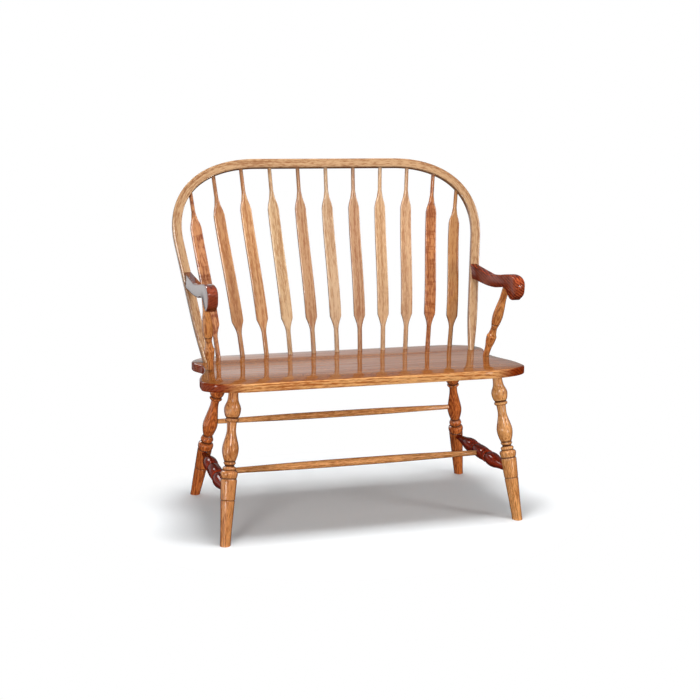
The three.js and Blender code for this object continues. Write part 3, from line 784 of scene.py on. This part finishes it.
def seat_boards(wood, logs):
    rears = (None, *(seam - BOARD_GAP / 2 for seam in SEAT_SEAMS))
    fronts = (*(seam + BOARD_GAP / 2 for seam in SEAT_SEAMS), None)
    for k, (rear, front) in enumerate(zip(rears, fronts)):
        work = seat_blank()
        if rear is not None:
            cut_off(work, at(0, rear, 0), (0, 1, 0))
        if front is not None:
            cut_off(work, at(0, front, 0), (0, -1, 0))
        sawn(
            f"seat_board_{k + 1}", work, lambda co: Vector((co.y, co.z, co.x)), logs[k], wood,
        )


# Arms, and the plugs over their screws

ARM_TOP_STEPS = 96
ARM_HOOK_STEPS = 72
ARM_RINGS = 6
SCREW_UP = SCREW_RISE / math.cos(LEAN)
ARM_REAR_SPAN = mix(BOW_FOOT_HALF_SPAN, BOW_SHOULDER_HALF_SPAN, SCREW_UP / BOW_SHOULDER_RISE)
ARM_GRAIN_TURN = math.radians(16)
ARM_GRAIN = Vector((0, math.cos(ARM_GRAIN_TURN), math.sin(ARM_GRAIN_TURN)))
ACROSS_ARM_GRAIN = Vector((0, -math.sin(ARM_GRAIN_TURN), math.cos(ARM_GRAIN_TURN)))
PLUG_EASE = 0.5
PLUG_EASE_MIDDLE = 0.15


def arm_middle(forward):
    return ARM_REAR_SPAN - ARM_TOE_IN * forward / ARM_LENGTH


def arm(node, side, wood, log):
    around = []  # the side outline, as forward and up, going round from the rear end
    for shares, steps in ((ARM_TOP, ARM_TOP_STEPS), (ARM_HOOK, ARM_HOOK_STEPS)):
        around += smooth([(f * ARM_LENGTH, h * ARM_RISE) for f, h in shares], steps)
    edge = quarter_round(ARM_EASE, ARM_RINGS)
    edge = [(inward, rise - ARM_NOSE_WIDTH / 2) for inward, rise in edge]
    edge += [(inward, -across) for inward, across in edge[::-1]]

    def placed(forward, height, across):
        width = mix(ARM_REAR_WIDTH, ARM_NOSE_WIDTH, forward / ARM_LENGTH)
        x = arm_middle(forward) + across / ARM_NOSE_WIDTH * width
        return at(side * x, -ARM_REAR_SET - forward, SEAT_HEIGHT + ARM_TIP + height)

    work = skinned([
        [placed(forward, height, across) for forward, height in inset(around, inward)]
        for inward, across in edge
    ])
    cut_off(work, in_bow(0, 0, BOW_DEPTH / 2 + BOARD_GAP), -BOW_FRONT)
    sawn(
        node, work, lambda co: Vector((co.dot(ACROSS_ARM_GRAIN), co.x, co.dot(ARM_GRAIN))), log,
        wood,
    )


def plug(node, side, wood, log):
    """The wood plug over the arm's screw, flush with the bow's back."""
    back = in_bow(side * ARM_REAR_SPAN, SCREW_UP, -BOW_DEPTH / 2)
    rows = [
        path_row(
            back + BOW_FRONT * (height * mm), Vector((radius * mm, 0, 0)),
            BOW_UP * (radius * mm), ROUND_POWER, height * mm,
        )
        for height, radius in (
            (0.0, PLUG_RADIUS - PLUG_EASE), (PLUG_EASE_MIDDLE, PLUG_RADIUS - PLUG_EASE_MIDDLE),
            (PLUG_EASE, PLUG_RADIUS), (PLUG_LENGTH, PLUG_RADIUS),
        )
    ]
    swept(node, rows, wood, log)


# Looks: nodes for patterns and masks


def blend(tree, factor, a, b, kind="RGBA", way="MIX"):
    node = node_of(tree, "ShaderNodeMix", data_type=kind, blend_type=way)
    *places, out = {"RGBA": (0, 6, 7, 2), "FLOAT": (0, 2, 3, 0)}[kind]
    for value, place in zip((factor, a, b), places):
        put(tree, value, node.inputs[place])
    return node.outputs[out]


def pattern(tree, place, look, output="Fac"):
    """Noise over a place, from its scale, detail and roughness."""
    scale, detail, roughness = look
    return node_of(tree, "ShaderNodeTexNoise", {
        "Vector": vector_calc(tree, "MULTIPLY", place, scale), "Scale": 1.0,
        "Detail": detail, "Roughness": roughness,
    }).outputs[output]


def ranged(tree, value, step):
    """0 below the step's low value, 1 above its high one, and soft between them."""
    low, high = step
    return node_of(
        tree, "ShaderNodeMapRange", {"Value": value, "From Min": low, "From Max": high},
        interpolation_type="SMOOTHSTEP",
    ).outputs["Result"]


# What the wood looks like inside. A pattern has a scale, a detail and a roughness.
FLAT_RINGS = (1.0, 1.0, 0.0)
HALF = (0.5, 0.5, 0.5)
DRIFT = ((7.0, 7.0, 1.6), 2.0, 0.5)
FIBRE = ((1100.0, 1100.0, 14.0), 2.0, 0.6)
PORE = ((1500.0, 1500.0, 55.0), 1.0, 0.5)
CLOUD = ((16.0, 16.0, 3.5), 3.0, 0.5)
STREAK = ((260.0, 260.0, 5.0), 3.0, 0.65)
DASH = ((300.0, 300.0, 48.0), 2.0, 0.6)
MOTTLE_DETAIL = (2.0, 0.5)
FINE_MOTTLE = (18.0, 18.0, 95.0)
BROAD_MOTTLE = (16.0, 16.0, 45.0)
EARLY_RISE = (0.0, 0.12)
EARLY_FALL = (0.3, 0.75)
PORE_STEP = (0.56, 0.68)
MOTTLE_STEP = (0.45, 0.65)
DRY_STEP = (0.42, 0.66)
PORES_ANYWHERE = 0.25
PORE_DARKNESS = 0.7
FIBRE_STRENGTH = 0.9
CLOUD_STRENGTH = 1.5
STREAK_STRENGTH = 2.4
DASH_STRENGTH = 3.0
BASE_SHADE = 0.12
FIBRE_RELIEF = 0.35
EARLY_RELIEF = 0.3


def oak_figure():
    """Growth rings, pores, fibres and slow clouds of tone, from a place in the log."""
    tree, given, made = group_tree(
        "oak figure",
        (
            ("Stock", "Vector", None), ("Light", "Color", None), ("Dark", "Color", None),
            ("Pores", "Color", None), ("Ring Width", "Float", 0.004),
            ("Ring Contrast", "Float", 0.6), ("Wander", "Float", 0.012),
            ("Cross Mottle", "Float", 0.0), ("Mottle Scale", "Vector", FINE_MOTTLE),
            ("Streaks", "Float", 1.0), ("Dashes", "Float", 1.0),
        ),
        (
            ("Colour", "Color"), ("Open Pores", "Float"), ("Height", "Float"),
            ("Dry Grain", "Float"),
        ),
    )
    stock = given["Stock"]
    drift = vector_calc(tree, "SUBTRACT", pattern(tree, stock, DRIFT, "Color"), HALF)
    moved = vector_calc(tree, "ADD", stock, vector_calc(tree, "SCALE", drift, given["Wander"]))
    radius = vector_calc(tree, "LENGTH", vector_calc(tree, "MULTIPLY", moved, FLAT_RINGS))
    season = calc(tree, "FRACT", calc(tree, "DIVIDE", radius, given["Ring Width"]))
    early = times(
        tree, ranged(tree, season, EARLY_RISE),
        minus(tree, 1.0, ranged(tree, season, EARLY_FALL)),
    )
    in_early = plus(tree, times(tree, early, 1 - PORES_ANYWHERE), PORES_ANYWHERE)
    pores = times(tree, ranged(tree, pattern(tree, stock, PORE), PORE_STEP), in_early)
    fibre = pattern(tree, stock, FIBRE)
    streak = pattern(tree, stock, STREAK)
    shade = plus(tree, times(tree, early, given["Ring Contrast"]), BASE_SHADE)
    for wave, strength in (
        (fibre, FIBRE_STRENGTH), (pattern(tree, stock, CLOUD), CLOUD_STRENGTH),
        (streak, times(tree, given["Streaks"], STREAK_STRENGTH)),
        (pattern(tree, stock, DASH), times(tree, given["Dashes"], DASH_STRENGTH)),
    ):
        shade = plus(tree, shade, times(tree, minus(tree, wave, 0.5), strength))
    fleck = pattern(tree, moved, (given["Mottle Scale"], *MOTTLE_DETAIL))
    mottle = times(tree, ranged(tree, fleck, MOTTLE_STEP), given["Cross Mottle"])
    tone = blend(tree, plus(tree, shade, mottle), given["Light"], given["Dark"])
    porous = blend(tree, times(tree, pores, PORE_DARKNESS), tone, given["Pores"])
    relief = minus(tree, times(tree, fibre, FIBRE_RELIEF), pores)
    for label, value in (
        ("Colour", porous), ("Open Pores", pores),
        ("Height", minus(tree, relief, times(tree, early, EARLY_RELIEF))),
        ("Dry Grain", ranged(tree, streak, DRY_STEP)),
    ):
        put(tree, value, made[label])
    return tree


EDGE_BEVEL_RADIUS = 0.0025
EDGE_BEVEL_SAMPLES = 4
WEAR_AND_HIGHLIGHT_PATCHES = ((40.0, 40.0, 40.0), 2.0, 0.5)
EDGE_STEP = (0.02, 0.25)
PATCH_STEP = (0.35, 0.7)


def edge_wear_and_highlight():
    """A patchy mask along sharp edges, where hands and cloths wear the finish; its paleness is
    also a painted highlight along them.
    """
    tree, given, made = group_tree(
        "edge wear and highlight", (("Stock", "Vector", None),), (("Worn And Highlit", "Float"),)
    )
    rounded = node_of(tree, "ShaderNodeBevel", {"Radius": EDGE_BEVEL_RADIUS}, samples=EDGE_BEVEL_SAMPLES)
    plain = tree.nodes.new("ShaderNodeNewGeometry").outputs["Normal"]
    turn = vector_calc(tree, "DOT_PRODUCT", rounded.outputs[0], plain)
    edge = ranged(tree, minus(tree, 1.0, turn), EDGE_STEP)
    patches = ranged(tree, pattern(tree, given["Stock"], WEAR_AND_HIGHLIGHT_PATCHES), PATCH_STEP)
    put(tree, times(tree, edge, patches), made["Worn And Highlit"])
    return tree


OAK = oak_figure()
EDGE_WEAR_AND_HIGHLIGHT = edge_wear_and_highlight()


# Materials


def material_of(name):
    material = bpy.data.materials.new(name)
    material.use_nodes = True
    tree = material.node_tree
    return material, tree, tree.nodes["Principled BSDF"]


def attribute(tree, name, output):
    return node_of(tree, "ShaderNodeAttribute", attribute_name=name).outputs[output]


def colour(red, green, blue):
    return (red, green, blue, 1.0)


# Burnt score lines, and painted shade in the turned coves.
BURN_AND_SHADE_COLOUR = colour(0.09, 0.028, 0.01)
# Painted shade: the colour darkens and browns where the surface turns away from the view.
PAINTED_EDGE_SHADE = colour(0.42, 0.24, 0.15)
PAINTED_EDGE_SHADE_STEP = (0.35, 0.85)
# The seat's top and ends get painted shade, picked by which way the surface faces.
TOP_STEP = (0.55, 0.97)
END_STEP = (0.0, 0.38)
# How much paler sharp edges get, for wear of the finish and a painted highlight.
WEAR_AND_HIGHLIGHT_PALENESS = 0.22
WOOD_ROUGHNESS = 0.34
PORE_ROUGHNESS = 0.2
WORN_ROUGHNESS = 0.12
RELIEF_STRENGTH = 0.2
RELIEF_DEPTH = 0.0004
LACQUER_IOR = 1.46


def lacquered_oak(
    name, light, dark, pores, ring_width=0.004, contrast=0.6, wander=0.012, mottle=0.0,
    mottle_scale=FINE_MOTTLE, streaks=1.0, dashes=1.0, coat=1.0, edge_coat=1.0,
    coat_roughness=0.06, dry=0.0, top_painted_shade=None, end_painted_shade=None,
):
    """Oak under clear gloss lacquer: figure below, a smooth hard coat above."""
    material, tree, shader = material_of(name)
    stock = attribute(tree, "stock", "Vector")
    figure = node_of(tree, "ShaderNodeGroup", {
        "Stock": stock, "Light": light, "Dark": dark, "Pores": pores,
        "Ring Width": ring_width, "Ring Contrast": contrast, "Wander": wander,
        "Cross Mottle": mottle, "Mottle Scale": mottle_scale, "Streaks": streaks,
        "Dashes": dashes,
    }, node_tree=OAK).outputs
    wear_and_highlight_node = node_of(tree, "ShaderNodeGroup", {"Stock": stock}, node_tree=EDGE_WEAR_AND_HIGHLIGHT)
    worn_and_highlit = wear_and_highlight_node.outputs["Worn And Highlit"]
    shown, lacquer = figure["Colour"], coat
    # Painted shade on the seat: its top and its ends are darkened.
    if top_painted_shade:
        facing = parts_of(tree, tree.nodes.new("ShaderNodeNewGeometry").outputs["Normal"])
        above = ranged(tree, facing["Z"], TOP_STEP)
        sideways = ranged(tree, calc(tree, "ABSOLUTE", facing["X"]), END_STEP)
        shown = blend(tree, above, shown, top_painted_shade, way="MULTIPLY")
        shown = blend(tree, sideways, shown, end_painted_shade, way="MULTIPLY")
        lacquer = blend(tree, above, edge_coat, coat, "FLOAT")
    else:
        # Painted shade along the outlines, where the surface turns away from the view.
        turned_away = tree.nodes.new("ShaderNodeLayerWeight").outputs["Facing"]
        painted_edge_shade = ranged(tree, turned_away, PAINTED_EDGE_SHADE_STEP)
        shown = blend(tree, painted_edge_shade, shown, PAINTED_EDGE_SHADE, way="MULTIPLY")
    if dry:
        lacquer = minus(tree, lacquer, times(tree, figure["Dry Grain"], dry))
    # Burnt score lines and painted shade in the coves of turned pieces.
    shown = blend(tree, attribute(tree, "burn_and_shade", "Fac"), shown, BURN_AND_SHADE_COLOUR)
    # Paler along sharp edges: wear of the finish, and a painted highlight.
    paler = blend(tree, times(tree, worn_and_highlit, WEAR_AND_HIGHLIGHT_PALENESS), shown, light, way="SCREEN")
    in_pores = times(tree, figure["Open Pores"], PORE_ROUGHNESS)
    rough = plus(tree, plus(tree, times(tree, worn_and_highlit, WORN_ROUGHNESS), WOOD_ROUGHNESS), in_pores)
    relief = node_of(tree, "ShaderNodeBump", {
        "Strength": RELIEF_STRENGTH, "Distance": RELIEF_DEPTH,
        "Height": figure["Height"],
    })
    fill(tree, shader, {
        "Base Color": paler, "Roughness": rough, "Normal": relief.outputs[0],
        "Coat Weight": lacquer, "Coat Roughness": coat_roughness, "Coat IOR": LACQUER_IOR,
        "Specular IOR Level": 0.0,
    })
    return material


HONEY_PORES = colour(0.2, 0.055, 0.015)
BROWN_PORES = colour(0.07, 0.018, 0.006)

# Its top and ends carry painted shade.
SEAT_OAK = lacquered_oak(
    "seat oak", colour(0.82, 0.415, 0.155), colour(0.44, 0.13, 0.03), BROWN_PORES,
    ring_width=0.0055, wander=0.02, streaks=0.65, dashes=1.1, edge_coat=0.5, dry=0.35,
    coat_roughness=0.045, top_painted_shade=colour(0.36, 0.26, 0.17),
    end_painted_shade=colour(0.34, 0.1, 0.03),
)
BOW_OAK = lacquered_oak(
    "bow oak", colour(0.47, 0.285, 0.15), colour(0.27, 0.125, 0.052), HONEY_PORES,
    ring_width=0.003, contrast=0.5, wander=0.004, dashes=1.5, coat_roughness=0.08,
)
# The two front legs are the same oak: the right one's paler, yellower tone is painted light, and
# the left one's darker tone is painted shade.
*FRONT_LEG_OAKS, REAR_LEG_OAK = (
    lacquered_oak(
        f"{which} leg oak", colour(*light), colour(*dark), BROWN_PORES, ring_width=0.0035,
        contrast=0.5, streaks=1.1, dashes=0.9, coat_roughness=0.05,
    )
    for which, light, dark in (
        ("left front", (0.71, 0.295, 0.097), (0.3, 0.078, 0.016)),
        ("right front", (0.88, 0.43, 0.155), (0.46, 0.15, 0.035)),
        ("rear", (0.73, 0.2, 0.045), (0.32, 0.06, 0.012)),
    )
)
POST_OAK = lacquered_oak(
    "post oak", colour(0.68, 0.28, 0.085), colour(0.36, 0.105, 0.027), BROWN_PORES,
    ring_width=0.003, streaks=1.4,
)
ROD_OAK = lacquered_oak(
    "rod oak", colour(0.9, 0.42, 0.155), colour(0.48, 0.17, 0.045), HONEY_PORES,
    ring_width=0.003, streaks=1.4, dashes=1.4, coat_roughness=0.07,
)
# The arms are the same oak: the left arm's much darker tone is painted shade.
ARM_OAKS = (
    lacquered_oak(
        "left arm oak", colour(0.26, 0.046, 0.017), colour(0.09, 0.011, 0.005), BROWN_PORES,
        ring_width=0.0075, contrast=0.5, wander=0.006, streaks=0.7, coat_roughness=0.14,
    ),
    lacquered_oak(
        "right arm oak", colour(0.45, 0.088, 0.028), colour(0.13, 0.015, 0.006), BROWN_PORES,
        ring_width=0.0075, contrast=0.8, wander=0.006, coat=0.35, coat_roughness=0.1,
    ),
)
STRETCHER_OAK = lacquered_oak(
    "side stretcher oak", colour(0.42, 0.04, 0.01), colour(0.15, 0.011, 0.004), BROWN_PORES,
    coat=0.4, coat_roughness=0.07,
)

# Light and dark tone, ring width, ring contrast and cross mottle, from the left. Only the
# first slat has the broad mottle.
SLAT_TONES = (
    ((0.53, 0.235, 0.1), (0.22, 0.055, 0.02), 0.005, 0.25, 0.75),
    ((0.488, 0.245, 0.108), (0.33, 0.131, 0.05), 0.004, 0.6, 0.0),
    ((0.568, 0.313, 0.146), (0.379, 0.157, 0.059), 0.0045, 0.6, 0.0),
    ((0.582, 0.387, 0.218), (0.399, 0.216, 0.099), 0.004, 0.5, 0.0),
    ((0.461, 0.264, 0.14), (0.321, 0.143, 0.066), 0.0035, 0.6, 0.0),
    ((0.555, 0.369, 0.223), (0.405, 0.227, 0.115), 0.004, 0.5, 0.0),
    ((0.477, 0.274, 0.15), (0.328, 0.148, 0.071), 0.0035, 0.6, 0.0),
    ((0.602, 0.381, 0.213), (0.43, 0.227, 0.106), 0.0045, 0.5, 0.0),
    ((0.584, 0.361, 0.203), (0.417, 0.211, 0.102), 0.004, 0.5, 0.0),
    ((0.5, 0.2, 0.07), (0.25, 0.068, 0.02), 0.006, 0.3, 0.6),
    ((0.42, 0.2, 0.073), (0.266, 0.096, 0.026), 0.006, 0.7, 0.2),
)


def slat_oak(number):
    light, dark, ring_width, contrast, mottle = SLAT_TONES[number]
    return lacquered_oak(
        f"slat oak {number + 1}", colour(*light), colour(*dark), HONEY_PORES,
        ring_width=ring_width, contrast=contrast, mottle=mottle,
        mottle_scale=FINE_MOTTLE if number else BROAD_MOTTLE, dashes=1.3, coat_roughness=0.08,
    )


BRUSHING = ((900.0, 60.0, 900.0), 3.0, 0.5)
STEEL_LIGHT = colour(0.48, 0.48, 0.5)
STEEL_DARK = colour(0.34, 0.34, 0.36)
STEEL_ROUGHNESS = 0.25
BRUSHED_ROUGHNESS = 0.2


def bright_steel():
    material, tree, shader = material_of("bright steel")
    place = tree.nodes.new("ShaderNodeTexCoord").outputs["Object"]
    brushed = pattern(tree, place, BRUSHING)
    fill(tree, shader, {
        "Base Color": blend(tree, brushed, STEEL_LIGHT, STEEL_DARK), "Metallic": 1.0,
        "Roughness": plus(tree, times(tree, brushed, BRUSHED_ROUGHNESS), STEEL_ROUGHNESS),
    })
    return material


# Building the bench

# Where each piece lies in its log: across the grain, through it and along it, in metres. The
# right piece of a pair lies a metre further along.
LOG_PLACES = {
    "leg_front": (0.012, 0.03, 1.3), "leg_rear": (0.02, 0.034, 3.1),
    "side_stretcher": (0.015, 0.028, 5.2), "middle_stretcher": (0.01, 0.03, 7.4),
    "rear_stretcher": (0.014, 0.026, 9.1), "arm": (0.01, 0.045, 2.2),
    "arm_post": (0.012, 0.024, 4.4), "arm_plug": (0.02, 0.03, 6.0),
    "bow": (0.004, 0.05, 0.7),
}
BOARD_PLACES = (
    (0.11, 0.16 - SEAT_HEIGHT * mm, 0.4), (0.22, 0.11 - SEAT_HEIGHT * mm, 2.9),
    (0.24, 0.19 - SEAT_HEIGHT * mm, 5.3), (0.42, 0.14 - SEAT_HEIGHT * mm, 8.8),
)
SLAT_LOG_STEPS = (0.004, 0.003, 1.7)
SLAT_LOG_DEPTH = 0.034


def log_place(kind, k=0):
    across, through, along = LOG_PLACES[kind]
    return (across, through, along + k)


def slat_log(number):
    """Spreads the slats over the log, so that no two of them show the same figure."""
    across, through, along = SLAT_LOG_STEPS
    return (
        across * (number * 5 % SLATS - 5), SLAT_LOG_DEPTH + through * (number * 3 % 7),
        along * number,
    )


def build_legs_and_stretchers():
    middles, rears = [], []
    for k, (name, side) in enumerate(SIDES):
        front, rear = on_side(FRONT_LINE, side), on_side(REAR_LINE, side)
        leg(f"leg_front_{name}", front, FRONT_LEG, FRONT_LEG_OAKS[k], log_place("leg_front", k))
        leg(f"leg_rear_{name}", rear, REAR_LEG, REAR_LEG_OAK, log_place("leg_rear", k))
        ends = [on_leg(line, SIDE_STRETCHER_HEIGHT) for line in (front, rear)]
        stretcher(
            f"side_stretcher_{name}", ends, LEG_RADIUS * SIDE_STRETCHER_EDGE,
            SIDE_STRETCHER_RADIUS, HALF_SIDE_STRETCHER, STRETCHER_OAK,
            log_place("side_stretcher", k),
        )
        middles.append((ends[0] + ends[1]) / 2)
        rears.append(on_leg(rear, REAR_STRETCHER_HEIGHT))
    stretcher(
        "middle_stretcher", middles, SIDE_STRETCHER_RADIUS * MIDDLE_STRETCHER_EDGE,
        MIDDLE_STRETCHER_RADIUS, HALF_ROD, ROD_OAK,
        log_place("middle_stretcher"),
    )
    stretcher(
        "rear_stretcher", rears, LEG_RADIUS * REAR_STRETCHER_EDGE, REAR_STRETCHER_RADIUS,
        HALF_ROD, ROD_OAK, log_place("rear_stretcher"),
    )


def build_arms():
    foot_x, foot_back = POST_FOOT
    top_x = arm_middle(POST_TOP_SET - ARM_REAR_SET)
    for k, (name, side) in enumerate(SIDES):
        arm(f"arm_{name}", side, ARM_OAKS[k], log_place("arm", k))
        low = at(foot_x * side, foot_back, SEAT_HEIGHT)
        high = at(top_x * side, -POST_TOP_SET, SEAT_HEIGHT + POST_TOP_RISE)
        rows = turned_rows(
            low, high, outline(POST, (high - low).length / mm, POST_RADIUS),
            (POST_TENON, POST_TENON), full_depth=POST_GROOVE_DEPTH,
        )
        swept(f"arm_post_{name}", rows, POST_OAK, log_place("arm_post", k))
        plug(f"arm_plug_{name}", side, BOW_OAK, log_place("arm_plug", k))


def dress_screws():
    steel = bright_steel()
    for name, _ in SIDES:
        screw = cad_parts[f"arm_screw_{name}"]
        screw.data.materials.clear()
        screw.data.materials.append(steel)


build_legs_and_stretchers()
build_arms()
bow(BOW_OAK, log_place("bow"))
for number in range(SLATS):
    slat(number, slat_oak(number), slat_log(number))
seat_boards(SEAT_OAK, BOARD_PLACES)
dress_screws()

# Floor

FLOOR_HALF = 9.0
FLOOR_SEEN = colour(0.95, 0.98, 1.0)
FLOOR_LIT = colour(0.16, 0.16, 0.16)
FLOOR_ROUGHNESS = 0.9
FLOOR_IN_GLOSS = 0.06
SHADOW_MIDDLE = (0.0, rear_edge - 0.205, 0.0)
SHADOW_REACH = (1.45, 1.75, 0.0)
SHADOW_END = (0.8, 1.1)
CARD_LEVEL = 1.2
CARD_EDGE = (-1.25, -0.95)


def floor_material():
    """Floor that looks white and keeps the bench's shadow, and throws little light back up.

    Far from the shadow it glows. In gloss, its left end is a bright card, and the rest is dark.
    """
    material, tree, shader = material_of("white floor")
    path = tree.nodes.new("ShaderNodeLightPath").outputs
    by_camera = path["Is Camera Ray"]
    fill(tree, shader, {
        "Base Color": blend(tree, by_camera, FLOOR_LIT, FLOOR_SEEN),
        "Roughness": FLOOR_ROUGHNESS, "Specular IOR Level": 0.0,
    })
    place = tree.nodes.new("ShaderNodeTexCoord").outputs["Object"]
    off_card = ranged(tree, parts_of(tree, place)["X"], CARD_EDGE)
    card = blend(tree, off_card, CARD_LEVEL, FLOOR_IN_GLOSS, "FLOAT")
    glow = node_of(
        tree, "ShaderNodeEmission", {"Strength": blend(tree, by_camera, card, 1.0, "FLOAT")}
    )
    flat = vector_calc(
        tree, "MULTIPLY", vector_calc(tree, "SUBTRACT", place, SHADOW_MIDDLE), SHADOW_REACH
    )
    far = ranged(tree, vector_calc(tree, "LENGTH", flat), SHADOW_END)
    seen = calc(tree, "MAXIMUM", by_camera, path["Is Glossy Ray"])
    choice = node_of(tree, "ShaderNodeMixShader", {
        0: times(tree, far, seen), 1: shader.outputs[0], 2: glow.outputs[0],
    })
    put(tree, choice.outputs[0], tree.nodes["Material Output"].inputs["Surface"])
    return material


def make_floor():
    mesh = bpy.data.meshes.new("floor")
    corners = [(-1, -1), (1, -1), (1, 1), (-1, 1)]
    mesh.from_pydata([(x * FLOOR_HALF, y * FLOOR_HALF, 0) for x, y in corners], [], [(0, 1, 2, 3)])
    mesh.materials.append(floor_material())
    floor = bpy.data.objects.new("floor", mesh)
    bpy.context.collection.objects.link(floor)


# Room

ROOM_LEVEL = 0.24
FRONT_LEVEL = 0.55
BACKDROP_LEFT = 0.95
BACKDROP_RIGHT = 0.5
BACKDROP_HIGH = 0.4
BACKDROP_TURN = (0.1, 0.42)
BACKDROP_TOP = (0.175, 0.24)
SIDE_OF_ROOM = (0.1, 0.55)
HIGH_UP = (0.35, 0.75)
WHITE = colour(1.0, 1.0, 1.0)


def make_world():
    """A dim room, paler in front and low behind the bench. The camera sees plain white."""
    world = bpy.data.worlds.new("studio")
    bpy.context.scene.world = world
    world.use_nodes = True
    tree = world.node_tree
    tree.nodes.clear()
    way = parts_of(tree, tree.nodes.new("ShaderNodeTexCoord").outputs["Generated"])
    low_down = minus(tree, 1.0, ranged(tree, way["Z"], HIGH_UP))
    backdrop = blend(
        tree, ranged(tree, way["X"], BACKDROP_TURN), BACKDROP_LEFT, BACKDROP_RIGHT, "FLOAT"
    )
    backdrop = blend(
        tree, ranged(tree, way["Z"], BACKDROP_TOP), backdrop, BACKDROP_HIGH, "FLOAT"
    )
    level = ROOM_LEVEL
    for sign, paler in ((-1.0, FRONT_LEVEL), (1.0, backdrop)):
        toward = ranged(tree, times(tree, way["Y"], sign), SIDE_OF_ROOM)
        level = blend(tree, times(tree, toward, low_down), level, paler, "FLOAT")
    room, white = (
        node_of(tree, "ShaderNodeBackground", {"Color": WHITE, "Strength": strength})
        for strength in (level, 1.0)
    )
    choice = node_of(tree, "ShaderNodeMixShader", {
        0: tree.nodes.new("ShaderNodeLightPath").outputs["Is Camera Ray"],
        1: room.outputs[0], 2: white.outputs[0],
    })
    node_of(tree, "ShaderNodeOutputWorld", {"Surface": choice.outputs[0]})


# Lamps: name, place, target, width, height and power. The first ones light the bench and aren't
# mirrored in it. The gloss ones are only mirrored.
LIGHTING = (
    ("overhead", (0.0, -0.05, 3.3), (0, -0.05, 0), 1.2, 1.0, 100),
    ("left box", (-1.9, -2.6, 0.65), (0, 0, 0.5), 0.8, 1.1, 46),
    ("right box", (2.4, -2.1, 0.65), (0, 0, 0.5), 0.6, 1.1, 38),
)
GLOSS = (
    ("front gloss box", (-0.75, -3.0, 2.5), (0, 0, 0.4), 0.9, 1.2, 56),
    ("right gloss box", (2.9, -2.3, 2.6), (0, 0, 0.4), 0.8, 1.2, 44),
    ("left gloss strip", (-2.3, -2.2, 0.42), (0, 0, 0.42), 0.22, 0.7, 17),
    ("right gloss strip", (1.6, -2.9, 0.42), (0, 0, 0.42), 0.22, 0.7, 17),
    ("rear gloss box", (-1.4, 2.9, 2.6), (0, 0, 0.4), 0.9, 1.2, 46),
)


def make_lamps(lamps, mirrored):
    for name, place, target, width, height, power in lamps:
        data = bpy.data.lights.new(name, "AREA")
        data.shape = "RECTANGLE"
        data.size, data.size_y = width, height
        data.energy = power
        lamp = bpy.data.objects.new(name, data)
        lamp.location = place
        lamp.visible_glossy = mirrored
        lamp.visible_diffuse = not mirrored
        way = Vector(target) - Vector(place)
        lamp.rotation_euler = way.to_track_quat("-Z", "Y").to_euler()
        bpy.context.collection.objects.link(lamp)


make_floor()
make_world()
make_lamps(LIGHTING, mirrored=False)
make_lamps(GLOSS, mirrored=True)

scene = bpy.context.scene
scene.view_settings.view_transform = "Standard"
